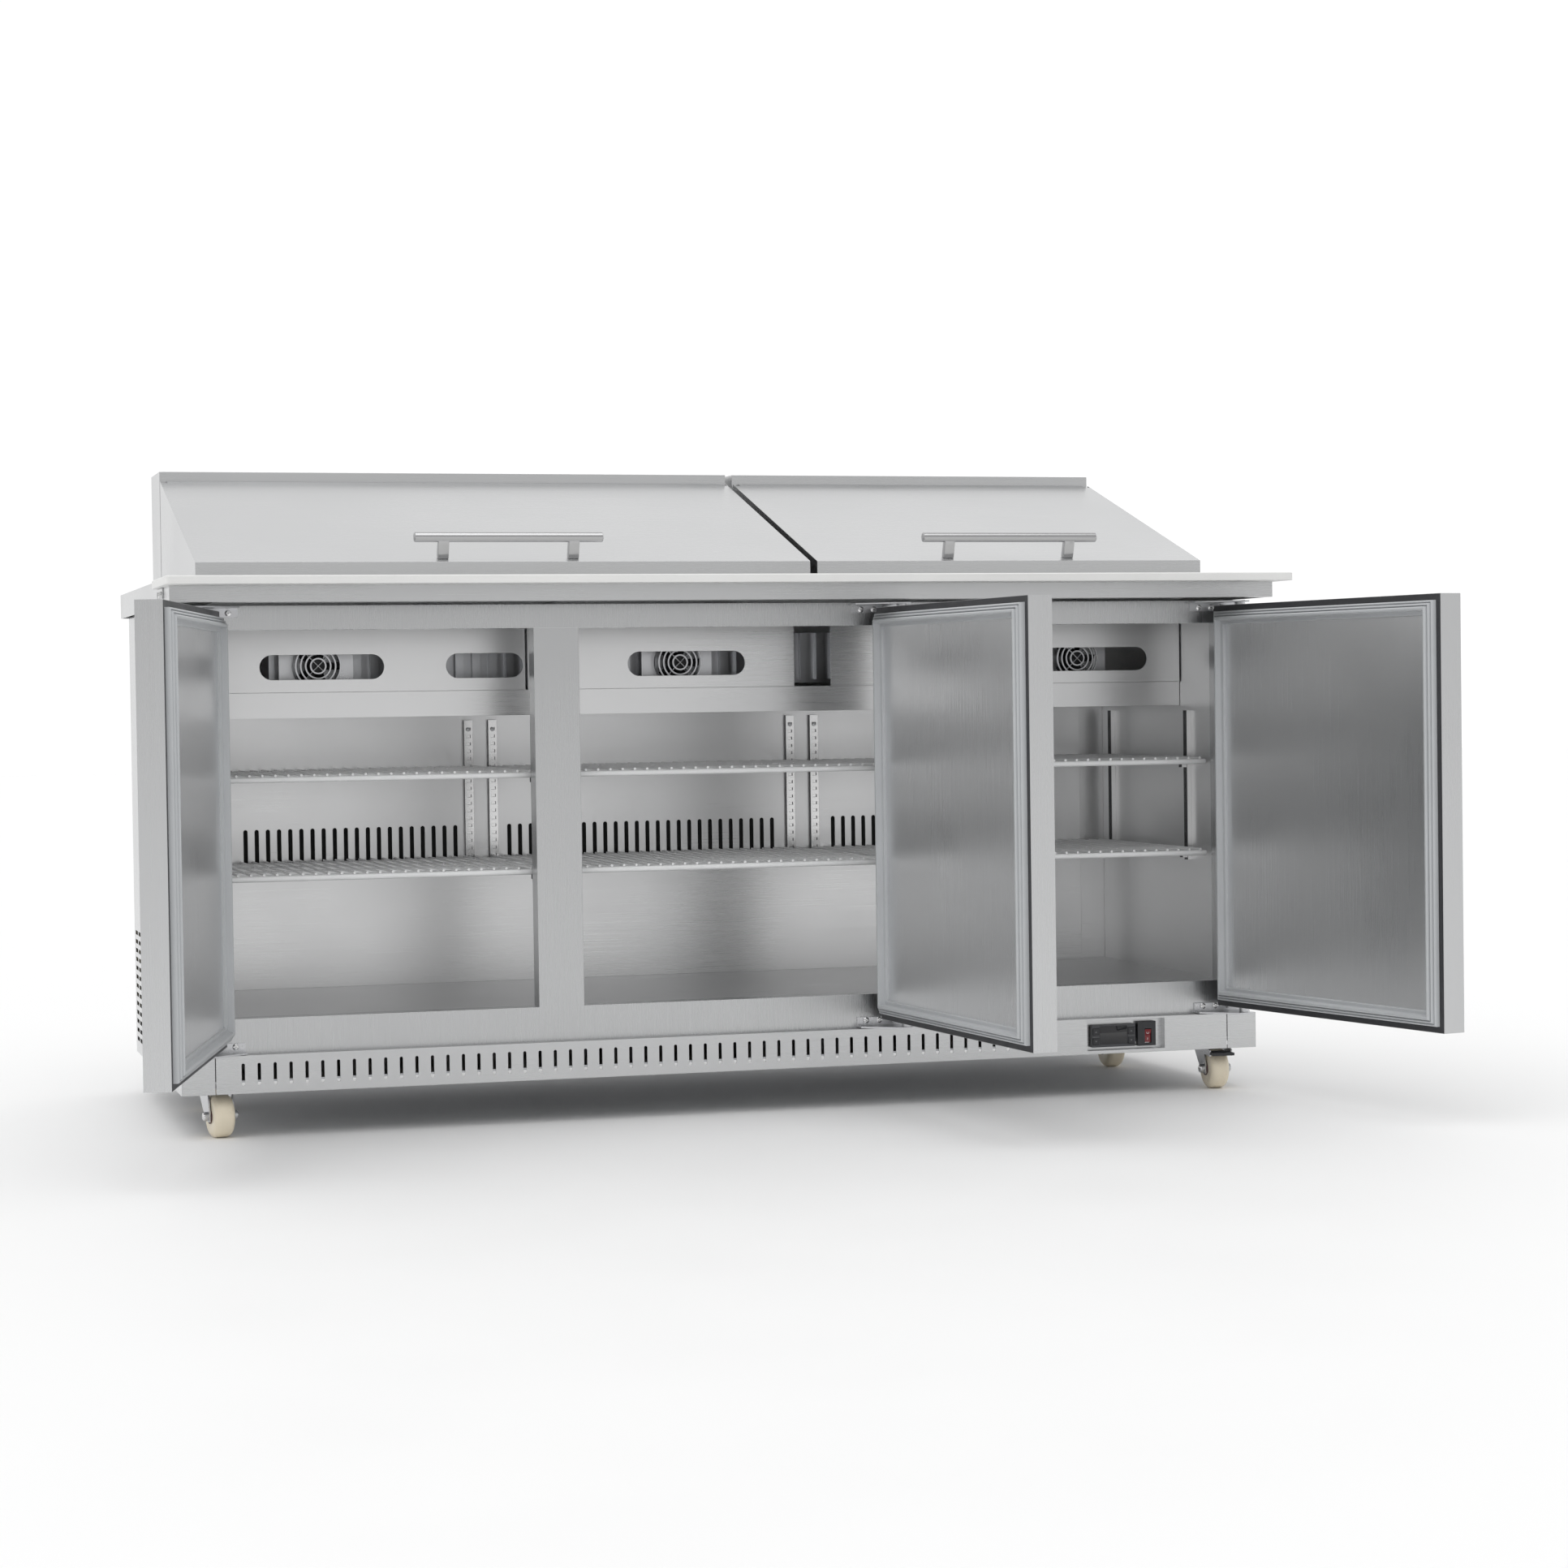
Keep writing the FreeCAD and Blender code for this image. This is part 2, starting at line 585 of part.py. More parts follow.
def pilaster(x0, x1, y0, y1, slots_along_x):
    """A slotted shelf standard, with its slots through the face that looks into the compartment."""
    strip = box(x0, x1, y0, y1, pilaster_bottom, pilaster_top)
    pitch = 12.7
    cuts = []
    count = int((pilaster_top - pilaster_bottom - 10) / pitch)
    for i in range(count):
        z = pilaster_bottom + 8 + i * pitch
        if slots_along_x:
            cuts.append(box(x0 + 3.7, x1 - 3.7, y0 - 1, y0 + 3, z, z + 5))
        else:
            xa = x0 - 1 if x0 > 0 else x1 - 3
            cuts.append(box(xa, xa + 4, y0 + 3.7, y1 - 3.7, z, z + 5))
    return strip.cut(cuts)


def make_shelf_hangers():
    y1 = return_panel_front
    half = pilaster_width / 2
    for x in rear_pilasters_x:
        add("shelf_hangers", pilaster(x - half, x + half, y1 - pilaster_depth, y1, True))
    for y in side_pilaster_y:
        w = inner_half_width
        add("shelf_hangers", pilaster(-w, -w + pilaster_depth, y - half, y + half, False))
        add("shelf_hangers", pilaster(w - pilaster_depth, w, y - half, y + half, False))
    back = face_y + mullion_depth
    for x in front_pilasters_x:
        add("shelf_hangers", box(x - half, x + half, back, back + pilaster_depth, pilaster_bottom,
                                 pilaster_top))
    drop = 2 * shelf_bar_radius + 2 * shelf_wire_radius
    for level in (upper_shelf_height, lower_shelf_height):
        z1 = floor_z + level - drop
        width, depth, height = clip_size
        for x in rear_pilasters_x:
            add("shelf_hangers", box(x - width / 2, x + width / 2, y1 - pilaster_depth - depth,
                                     y1 - pilaster_depth, z1 - height, z1))
        for x in front_pilasters_x:
            add("shelf_hangers", box(x - width / 2, x + width / 2, back + pilaster_depth,
                                     back + pilaster_depth + depth + 4, z1 - height, z1))
        for y in side_pilaster_y:
            x = inner_half_width - pilaster_depth
            add("shelf_hangers", box(-x, -x + depth, y - width / 2, y + width / 2, z1 - height, z1))
            add("shelf_hangers", box(x - depth, x, y - width / 2, y + width / 2, z1 - height, z1))


shelf_end = inner_half_width - 11.0
shelf_spans = ((-shelf_end, left_mullion_x - 25.0), (left_mullion_x - 17.0, right_mullion_x - 23.0),
               (right_mullion_x - 15.0, shelf_end))


def wire_shelf(x0, x1, top):
    """Wires run front to back over three cross bars, inside a bent rim of heavier wire."""
    wire_z = top - shelf_wire_radius
    bar_z = top - 2 * shelf_wire_radius - shelf_bar_radius
    r = shelf_bar_radius
    ya = shelf_front + r
    yb = shelf_back - r
    rim = [rod((x0, ya, bar_z), (x1, ya, bar_z), r), rod((x0, yb, bar_z), (x1, yb, bar_z), r),
           rod((x0 + r, ya, bar_z), (x0 + r, yb, bar_z), r * 0.8),
           rod((x1 - r, ya, bar_z), (x1 - r, yb, bar_z), r * 0.8)]
    for share in (1 / 3, 2 / 3):
        y = ya + share * (yb - ya)
        rim.append(rod((x0 + r, y, bar_z + 0.9), (x1 - r, y, bar_z + 0.9), r * 0.8))
    count = int((x1 - x0 - 12) / shelf_wire_pitch)
    start = (x0 + x1 - count * shelf_wire_pitch) / 2
    sink = 0.4
    wires = [rod((start + i * shelf_wire_pitch, shelf_front + 1, wire_z - sink),
                 (start + i * shelf_wire_pitch, shelf_back - 1, wire_z - sink), shelf_wire_radius)
             for i in range(count + 1)]
    return rim[0].multiFuse(rim[1:] + wires)


def make_shelves():
    for x0, x1 in shelf_spans:
        add("upper_shelves", wire_shelf(x0, x1, floor_z + upper_shelf_height))
        add("lower_shelves", wire_shelf(x0, x1, floor_z + lower_shelf_height))


# ---------------------------------------------------------------- counter, board, hoods
def make_counter():
    w = counter_half_width
    t = sheet
    front_outline = [(counter_front, counter_bottom), (counter_front + 22, counter_bottom),
                     (counter_front + 22, counter_bottom + t), (counter_front + t, counter_bottom + t),
                     (counter_front + t, shelf_top - t), (board_back + t, shelf_top - t),
                     (board_back + t, deck_top - t), (pan_opening_front, deck_top - t),
                     (pan_opening_front, deck_top), (board_back, deck_top), (board_back, shelf_top),
                     (counter_front, shelf_top)]
    front = extrude_x(front_outline, -w + t, w - t)
    side_strip = box(pan_opening_half_width, w - t, pan_opening_front, counter_back - t, deck_top - t,
                     deck_top)
    rear_strip = box(-pan_opening_half_width, pan_opening_half_width, pan_opening_back, counter_back - t,
                     deck_top - t, deck_top)
    skirt_outline = [(counter_front, counter_bottom), (board_back, counter_bottom),
                     (board_back, counter_bottom - 2), (counter_back, counter_bottom - 2),
                     (counter_back, deck_top), (board_back, deck_top), (board_back, shelf_top),
                     (counter_front, shelf_top)]
    skirt = extrude_x(skirt_outline, w - t, w)
    rear_skirt = box(-w + t, w - t, counter_back - t, counter_back, counter_bottom - 2, deck_top)
    collar_drop = 34.0
    collar = []
    pw = pan_opening_half_width
    for x in (-pw, pw - t):
        collar.append(box(x, x + t, pan_opening_front, pan_opening_back, deck_top - collar_drop,
                          deck_top - t))
    for y in (pan_opening_front, pan_opening_back - t):
        collar.append(box(-pw + t, pw - t, y, y + t, deck_top - collar_drop, deck_top - t))
    add("counter_top", front, side_strip, mirrored(side_strip), rear_strip, skirt, mirrored(skirt),
        rear_skirt, *collar)

    cell = 2 * (pw - t) / pan_cells
    for i in range(1, pan_cells):
        x = -pw + t + i * cell
        add("counter_top", box(x - 5, x + 5, pan_opening_front + t, pan_opening_back - t,
                                deck_top - 14, deck_top - t))


board_bracket_front = 23.0
board_bracket_back = 150.0


def make_board():
    board = box(-board_half_width, board_half_width, board_front, board_back - 1, shelf_top, board_top)
    edges = [e for e in board.Edges if e.BoundBox.ZLength > board_thickness - 0.01]
    board = board.makeFillet(6.0, edges)
    top_edges = [e for e in board.Edges if e.BoundBox.ZMin > board_top - 0.01]
    add("cutting_board", board.makeChamfer(1.5, top_edges))
    x0 = counter_half_width + 0.1
    outline = [(board_bracket_front, counter_bottom + 8), (board_bracket_front + 55, counter_bottom + 4),
               (board_bracket_back, deck_top - 14), (board_bracket_back, deck_top),
               (board_back + 3, deck_top), (board_back + 3, shelf_top - 0.5),
               (board_bracket_front, shelf_top - 0.5)]
    plate = extrude_x(outline, x0, x0 + 2)
    for y in (board_bracket_front + 12, board_bracket_front + 48):
        head = rod((x0 + 2, y, counter_bottom + 14), (x0 + 5, y, counter_bottom + 14), 5)
        plate = plate.fuse(head)
    add("board_brackets", mirrored(plate), plate)


lid_tan = math.tan(math.radians(lid_slope))
lid_bottom = deck_top + lid_seat_gap
lid_lip_top = lid_bottom + lid_lip


def lid_surface(y):
    return lid_lip_top + (y - lid_front) * lid_tan


lid_pin_y = lid_rear - lid_pin_inset
lid_pin_z = lid_surface(lid_pin_y) - lid_pin_drop
lid_lug_width = 4.0
lid_lug_offset = 3.0            # from the cheek's inner face
lid_spans = {"left": (-lid_half_width, lid_split), "right": (lid_split + lid_gap, lid_half_width)}


def make_hoods():
    t = sheet
    z0 = deck_top
    z1 = deck_top + hood_height
    for x0, x1 in lid_spans.values():
        shell = box(x0, x1, hood_front, hood_back, z0, z1)
        shell = shell.cut(box(x0 + t, x1 - t, hood_front + t, hood_back - t, z0 - 1, z1 - t))
        for end, way in ((x0 + t + lid_lug_offset, 1), (x1 - t - lid_lug_offset - lid_lug_width, 1)):
            lug = box(end, end + way * lid_lug_width, lid_pin_y - 1, hood_front + t / 2, lid_pin_z - 6,
                      lid_pin_z + 5)
            nose = rod((end, lid_pin_y, lid_pin_z), (end + lid_lug_width, lid_pin_y, lid_pin_z), 6.0)
            bore = rod((end - 1, lid_pin_y, lid_pin_z), (end + lid_lug_width + 1, lid_pin_y, lid_pin_z),
                       lid_pin_radius + running_clearance)
            shell = shell.fuse(lug.fuse(nose)).cut(bore)
        add("rear_hoods", shell)


def make_lids():
    t = sheet
    cos_slope = math.cos(math.radians(lid_slope))
    slab_drop = lid_thickness / cos_slope
    for side, (x0, x1) in lid_spans.items():
        slab_outline = [(lid_front, lid_lip_top), (lid_rear, lid_surface(lid_rear)),
                        (lid_rear, lid_surface(lid_rear) - slab_drop),
                        (lid_front + t, lid_surface(lid_front + t) - slab_drop),
                        (lid_front + t, lid_bottom), (lid_front, lid_bottom)]
        slab = extrude_x(slab_outline, x0 + t, x1 - t)
        notch = lid_lug_offset * 2 + lid_lug_width
        reach = 8.0
        notches = []
        for start in (x0 + t, x1 - t - notch):
            notches.append(box(start, start + notch, lid_pin_y - reach, lid_rear + 1,
                               lid_pin_z - 45, lid_pin_z + 20))
        slab = slab.cut(notches)
        cheek_outline = [(lid_front, lid_bottom), (lid_rear, lid_bottom),
                         (lid_rear, lid_surface(lid_rear)), (lid_front, lid_lip_top)]
        cheeks = [extrude_x(cheek_outline, x0, x0 + t), extrude_x(cheek_outline, x1 - t, x1)]
        pins = [rod((x0 + t, lid_pin_y, lid_pin_z), (x0 + t + notch, lid_pin_y, lid_pin_z), lid_pin_radius),
                rod((x1 - t, lid_pin_y, lid_pin_z), (x1 - t - notch, lid_pin_y, lid_pin_z), lid_pin_radius)]
        add("lid_%s_shell" % side, slab, cheeks[0].fuse(pins[0]), cheeks[1].fuse(pins[1]))

        slope = math.radians(lid_slope)
        foot_y = lid_front + handle_up_slope * math.cos(slope)
        foot_z = lid_surface(foot_y)
        bar_y = foot_y - handle_standoff * math.sin(slope)
        bar_z = foot_z + handle_standoff * math.cos(slope)
        middle = (x0 + x1) / 2
        bar = rod((middle - handle_length / 2, bar_y, bar_z), (middle + handle_length / 2, bar_y, bar_z),
                  handle_radius)
        posts = []
        for way in (-1, 1):
            x = middle + way * handle_spacing / 2
            posts.append(rod((x, foot_y, foot_z), (x, bar_y, bar_z), 9.0))
        add("lid_%s_handle" % side, bar.multiFuse(posts))


# ---------------------------------------------------------------- doors and their hinges
grip_width = 30.0
grip_height = 150.0
grip_depth = 18.0
grip_from_edge = 34.0
grip_centre = 0.66              # share of the door's height
bush_radius = pin_depth - sheet - 0.1
bush_length = 24.0
door_pins = {
    "left": (left_door_edge + pin_inset, 1, left_open_angle),
    "middle": (middle_door_edge - pin_inset, -1, middle_open_angle),
    "right": (right_door_edge - pin_inset, -1, right_open_angle),
}


def make_door(name, pin_x, way, angle):
    """Built closed with its hinge pin at the origin, for a door hinged on its left, then placed."""
    t = sheet
    x0 = -pin_inset
    x1 = x0 + door_width
    y0 = -pin_depth
    y1 = y0 + door_thickness
    z0 = door_bottom
    z1 = door_top
    gx1 = x1 - grip_from_edge
    gx0 = gx1 - grip_width
    gz0 = z0 + grip_centre * door_height - grip_height / 2
    gz1 = gz0 + grip_height
    rim = 9.0
    skins = [box(x0, gx0, y0, y0 + t, z0, z1), box(gx1, x1, y0, y0 + t, z0, z1),
             box(gx0, gx1, y0, y0 + t, z0, gz0), box(gx0, gx1, y0, y0 + t, gz1, z1)]
    side_outline = [(y0 + t, 0), (y1, 0), (y1, rim), (y1 - t, rim), (y1 - t, t), (y0 + t, t)]
    low = extrude_x([(y, z0 + d) for y, d in side_outline], x0, x1)
    high = extrude_x([(y, z1 - d) for y, d in side_outline], x0, x1)
    left = extrude_z([(x0 + d, y) for y, d in side_outline], z0 + t, z1 - t)
    right = extrude_z([(x1 - d, y) for y, d in side_outline], z0 + t, z1 - t)
    trim_low = box(x0, x1, y1 - t, y1, z0 + t, z0 + rim)
    trim_high = box(x0, x1, y1 - t, y1, z1 - rim, z1 - t)
    left = left.cut([trim_low, trim_high])
    right = right.cut([trim_low, trim_high])
    cup_back = y0 + grip_depth
    cup = [box(gx0 - t, gx1 + t, cup_back, cup_back + t, gz0 - t, gz1 + t),
           box(gx0 - t, gx0, y0 + t, cup_back, gz0 - t, gz1 + t),
           box(gx1, gx1 + t, y0 + t, cup_back, gz0 - t, gz1 + t),
           box(gx0, gx1, y0 + t, cup_back, gz0 - t, gz0), box(gx0, gx1, y0 + t, cup_back, gz1, gz1 + t)]
    bushes = []
    socket = pin_radius + running_clearance
    bush_holes = []
    for z in (z0, z1 - bush_length):
        bushes.append(ring((0, 0, z), (0, 0, 1), bush_radius, socket, bush_length))
        bush_holes.append(rod((0, 0, z - 1), (0, 0, z + bush_length + 1), bush_radius))
    low = low.cut(bush_holes)
    high = high.cut(bush_holes)

    core = [box(x0 + t, gx0 - t, y0 + t, cup_back + t, z0 + t, z1 - t).cut(bush_holes),
            box(gx1 + t, x1 - t, y0 + t, cup_back + t, z0 + t, z1 - t),
            box(gx0 - t, gx1 + t, y0 + t, cup_back + t, z0 + t, gz0 - t),
            box(gx0 - t, gx1 + t, y0 + t, cup_back + t, gz1 + t, z1 - t),
            box(x0 + t, x1 - t, cup_back + t, y1 - t, z0 + t, z1 - t)]
    liner = box(x0 + rim, x1 - rim, y1 - t, y1, z0 + rim, z1 - rim)

    m = gasket_margin
    g = gasket_width
    base_flange = 5.0
    bulb_start = 8.0
    bulb_end = 18.0
    bevel = 2.2
    bevel_run = 6.0
    outline = [(0, 0), (g, 0), (g, base_flange), (bulb_end, base_flange), (bulb_end, gasket_thickness),
               (bulb_start + bevel_run, gasket_thickness), (bulb_start, gasket_thickness - bevel),
               (bulb_start, base_flange), (0, base_flange)]
    strips = []
    for axis, start, flip in (("x", z0 + m, 1), ("x", z1 - m, -1), ("z", x0 + m, 1), ("z", x1 - m, -1)):
        points = [(start + flip * across, y1 + up) for across, up in outline]
        if axis == "x":
            strips.append(extrude_x([(y, z) for z, y in points], x0 + m + g, x1 - m - g))
        else:
            strips.append(extrude_z(points, z0 + m, z1 - m))

    pieces = {"shell": skins + [low, high, left, right] + cup + bushes, "core": core, "liner": [liner],
              "gasket": strips}
    for kind, shapes in pieces.items():
        for shape in shapes:
            placed = shape if way > 0 else mirrored(shape)
            placed = turned(placed, (0, 0, 0), (0, 0, 1), -way * angle)
            placed.translate(FreeCAD.Vector(pin_x, pin_y, 0))
            add("door_%s_%s" % (name, kind), placed)


bracket_sheet = 2.5
bracket_height = 16.0
bracket_reach = 69.0            # from the pin, along the frame
bracket_screw_steps = (54.0, 32.0, 10.0)
bracket_screw_radius = 4.5
bracket_screw_head = 1.8
bracket_end = 12.0


def make_hinges():
    for pin_x, way, _ in door_pins.values():
        for level in ("low", "high"):
            if level == "low":
                flange_z = base_top + 1.0
                plate_z = flange_z
                pin_start = flange_z
                pin_end = door_bottom + bush_length - 1.5
                washer_z = flange_z + bracket_sheet
                washer_top = door_bottom - 0.3
            else:
                flange_z = door_top + 5.0
                plate_z = flange_z + bracket_sheet - bracket_height
                pin_start = flange_z + bracket_sheet
                pin_end = door_top - bush_length + 1.5
                washer_z = door_top + 0.3
                washer_top = flange_z
            far = pin_x + way * bracket_reach
            near = pin_x - way * bracket_end
            front = pin_y - bracket_end
            outline = [(near, face_y), (near, front), (pin_x + way * bracket_end, front),
                       (far, face_y - 22), (far, face_y)]
            flange = extrude_z(outline, flange_z, flange_z + bracket_sheet)
            plate = box(min(near, far), max(near, far), face_y - bracket_sheet, face_y, plate_z,
                        plate_z + bracket_height)
            pin = rod((pin_x, pin_y, pin_start), (pin_x, pin_y, pin_end), pin_radius)
            slot = slot_y(pin_x + way * 16 - 3, pin_x + way * 16 + 3, plate_z + 4, plate_z + 12, face_y - 4,
                          face_y + 1) if level == "high" else None
            bracket = flange.fuse(plate).fuse(pin)
            if slot:
                bracket = bracket.cut(slot)
            add("hinge_brackets", bracket)
            add("hinge_brackets", ring((pin_x, pin_y, washer_z), (0, 0, 1), 8.0,
                                       pin_radius, washer_top - washer_z))
            for step in bracket_screw_steps:
                x = pin_x + way * step
                z = plate_z + bracket_height / 2 + (2.5 if level == "low" else -2.5)
                y = face_y - bracket_sheet
                head = rod((x, y - bracket_screw_head, z), (x, y, z), bracket_screw_radius)
                add("hinge_brackets", head)


# ---------------------------------------------------------------- machine bay
inlet_x = -half_width + 182.0
inlet_z = caster_top + 390.0
inlet_thread_radius = 9.0
compressor_radius = 54.0
compressor_height = 190.0
compressor_x = 430.0
condenser_x = 60.0
condenser_width = 60.0
condenser_height = 210.0
condenser_fan_radius = 50.0


def make_machine_bay():
    y = (bay_front + cabinet_back - sheet) / 2
    z0 = caster_top + pan_sheet
    foot = 14.0
    can = rod((compressor_x, y, z0 + foot), (compressor_x, y, z0 + foot + compressor_height),
              compressor_radius)
    can = can.makeFillet(20.0, [e for e in can.Edges if e.Length > 2 * math.pi * compressor_radius - 1])
    cradle = box(compressor_x - 62, compressor_x + 62, y - 46, y + 46, z0 + foot - 4, z0 + foot + 2)
    feet = [rod((compressor_x + sx * 52, y + sy * 38, z0), (compressor_x + sx * 52, y + sy * 38, z0 + foot - 4),
                9.0) for sx in (-1, 1) for sy in (-1, 1)]
    cap = box(compressor_x - 22, compressor_x + 22, y - 20, y + 20, z0 + foot + compressor_height - 6,
              z0 + foot + compressor_height + 24)
    add("compressor", can.multiFuse([cradle, cap] + feet))

    half_depth = 52.0
    coil = box(condenser_x, condenser_x + condenser_width, y - half_depth, y + half_depth, z0,
               z0 + condenser_height)
    grooves = [box(condenser_x + 4, condenser_x + condenser_width - 4, y - half_depth - 1,
                   y - half_depth + 9, z0 + 8 + i * 10, z0 + 14 + i * 10)
               for i in range(int((condenser_height - 12) / 10))]
    add("condenser_coil", coil.cut(grooves))
    fan_height = z0 + condenser_height / 2
    shroud_x = condenser_x - 30
    shroud = box(shroud_x, condenser_x, y - half_depth, y + half_depth, z0, z0 + condenser_height)
    shroud = shroud.cut(box(shroud_x + 2, condenser_x, y - half_depth + 2, y + half_depth - 2, z0 + 2,
                            z0 + condenser_height - 2))
    mouth = rod((shroud_x - 1, y, fan_height), (shroud_x + 3, y, fan_height), half_depth - 6)
    add("condenser_coil", shroud.cut(mouth))
    motor_x = shroud_x - 62
    motor = rod((motor_x, y, fan_height), (motor_x + 36, y, fan_height), 24)
    post = box(motor_x + 10, motor_x + 26, y - 8, y + 8, z0, fan_height - 20)
    shaft = rod((motor_x + 36, y, fan_height), (motor_x + 60, y, fan_height), 3.0)
    add("fan_motors", motor.multiFuse([post, shaft]))
    fan = fan_blades((motor_x + 42, y, fan_height), "x", condenser_fan_radius - 8, 15.0, 14.0,
                     3.0 + running_clearance, 5, 32)
    add("condenser_fan", fan)

    gland = rod((inlet_x, cabinet_back - 12, inlet_z), (inlet_x, cabinet_back + 16, inlet_z),
                inlet_thread_radius)
    collar = rod((inlet_x, cabinet_back, inlet_z), (inlet_x, cabinet_back + 6, inlet_z), 14.0)
    bore = rod((inlet_x, cabinet_back - 13, inlet_z), (inlet_x, cabinet_back + 17, inlet_z), 5.0)
    add("cord_inlet", gland.fuse(collar).cut(bore))


# ---------------------------------------------------------------- casters
fork_sheet = 2.5
axle_radius = 4.0
hub_clearance = 1.5
plate_sheet = 3.0
swivel_height = 7.0
pedal_pivot_y = -caster_trail - 0.8 * wheel_radius   # brake pedal's pivot; the fork trails towards -Y
pedal_pivot_z = 1.8333 * wheel_radius
pedal_half_width = 18.0


def make_caster(spot, x, y, turn):
    plate = box(x - caster_plate_half, x + caster_plate_half, y - caster_plate_half, y + caster_plate_half,
                caster_top - plate_sheet, caster_top)
    kingpin_top = caster_top - plate_sheet
    fork_top = kingpin_top - swivel_height
    kingpin = rod((x, y, fork_top - 4), (x, y, kingpin_top), 5.0)
    bolts = [rod((bx, by, caster_top - plate_sheet - 4), (bx, by, caster_top + pan_sheet + 5),
                 caster_bolt_radius - 0.2) for bx, by in caster_bolt_points(x, y)]
    heads = [rod((bx, by, caster_top - plate_sheet - 5), (bx, by, caster_top - plate_sheet), 6.5)
             for bx, by in caster_bolt_points(x, y)]
    add("caster_plates", plate.multiFuse([kingpin] + bolts + heads))

    # fork and wheel, built trailing towards -Y at the origin
    half_gap = wheel_width / 2 + hub_clearance
    outer = half_gap + fork_sheet
    race = ring((0, 0, fork_top), (0, 0, 1), 21.0, 5.0 + running_clearance, swivel_height - 0.5)
    crown = box(-outer, outer, -26, 21, fork_top - 2.5, fork_top)
    crown = crown.cut(rod((0, 0, fork_top - 5), (0, 0, fork_top + 5), 5.0 + running_clearance))
    leg_outline_y = [(-26.0, fork_top - 2.5), (21.0, fork_top - 2.5), (16.0, fork_top - 14),
                     (-caster_trail + 9, wheel_radius - 8), (-caster_trail - 9, wheel_radius - 8),
                     (-caster_trail - 9, wheel_radius + 9)]
    legs = [extrude_x(leg_outline_y, half_gap, outer), extrude_x(leg_outline_y, -outer, -half_gap)]
    axle = rod((-outer - 4, -caster_trail, wheel_radius), (outer + 4, -caster_trail, wheel_radius),
               axle_radius)
    heads = [rod((-outer - 5, -caster_trail, wheel_radius), (-outer, -caster_trail, wheel_radius), 7.0),
             rod((outer, -caster_trail, wheel_radius), (outer + 5, -caster_trail, wheel_radius), 7.0)]
    fork = race.multiFuse([crown] + legs + [axle] + heads)
    wheel = rod((-wheel_width / 2, -caster_trail, wheel_radius), (wheel_width / 2, -caster_trail,
                wheel_radius), wheel_radius)
    wheel = wheel.makeFillet(tread_rounding, [e for e in wheel.Edges if e.Length > 2 * math.pi * wheel_radius - 1])
    wheel = wheel.cut(rod((-20, -caster_trail, wheel_radius), (20, -caster_trail, wheel_radius),
                          axle_radius + running_clearance))
    pieces = {"caster_%s_fork" % spot: fork, "caster_%s_wheel" % spot: wheel}
    if spot == braked_caster:
        ear_outline = [(-26.0, fork_top - 2.5), (-26.0, pedal_pivot_z - 3.0),
                       (pedal_pivot_y - 4.0, pedal_pivot_z - 5.0), (pedal_pivot_y - 4.0, pedal_pivot_z + 5.0)]
        ears = [extrude_x(ear_outline, half_gap, outer), extrude_x(ear_outline, -outer, -half_gap)]
        pivot = rod((-outer, pedal_pivot_y, pedal_pivot_z), (outer, pedal_pivot_y, pedal_pivot_z), 1.8)
        pieces["caster_%s_fork" % spot] = fork.multiFuse(ears + [pivot])
        barrel_half = half_gap - 0.4
        barrel = rod((-barrel_half, pedal_pivot_y, pedal_pivot_z), (barrel_half, pedal_pivot_y, pedal_pivot_z),
                     3.8)
        arm = box(-barrel_half, barrel_half, pedal_pivot_y - 8, pedal_pivot_y, pedal_pivot_z - 2.0,
                  pedal_pivot_z + 1.5)
        tread = box(-pedal_half_width, pedal_half_width, pedal_pivot_y - 19, pedal_pivot_y - 6,
                    pedal_pivot_z - 3.0, pedal_pivot_z + 1.5)
        bore = rod((-20, pedal_pivot_y, pedal_pivot_z), (20, pedal_pivot_y, pedal_pivot_z),
                   1.8 + running_clearance)
        pieces["caster_%s_pedal" % spot] = barrel.multiFuse([arm, tread]).cut(bore)
    for name, shape in pieces.items():
        placed = turned(shape, (0, 0, 0), (0, 0, 1), turn)
        placed.translate(FreeCAD.Vector(x, y, 0))
        add(name, placed)


# ---------------------------------------------------------------- build, centre and write
make_base()
make_controls()
make_shell()
make_liner()
make_face_frame()
make_inside()
make_evaporator()
make_fans()
make_shelf_hangers()
make_shelves()
make_counter()
make_board()
make_hoods()
make_lids()
for door_name, (door_x, door_way, door_angle) in door_pins.items():
    make_door(door_name, door_x, door_way, door_angle)
make_hinges()
make_machine_bay()
for caster_name, (spot_x, spot_y, spot_turn) in caster_spots.items():
    make_caster(caster_name, spot_x, spot_y, spot_turn)

extents = FreeCAD.BoundBox()
for outline_node in ("door_left_shell", "door_middle_shell", "door_right_shell", "rear_hoods",
                     "cutting_board"):
    for solid in nodes[outline_node]:
        extents.add(solid.BoundBox)
shift = FreeCAD.Vector(-(extents.XMin + extents.XMax) / 2, -(extents.YMin + extents.YMax) / 2, 0)
print("shift", round(shift.x, 3), round(shift.y, 3), "extents", extents)

for node_name, solids in nodes.items():
    moved = []
    for solid in solids:
        copy = solid.copy()
        copy.translate(shift)
        moved.append(copy)
    shape = moved[0] if len(moved) == 1 else Part.makeCompound(moved)
    shape.exportStep("parts/%s.step" % node_name)
print("nodes", len(nodes), "solids", sum(len(s) for s in nodes.values()))
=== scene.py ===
import json
import math

import bmesh
import bpy
from mathutils import Matrix, Vector


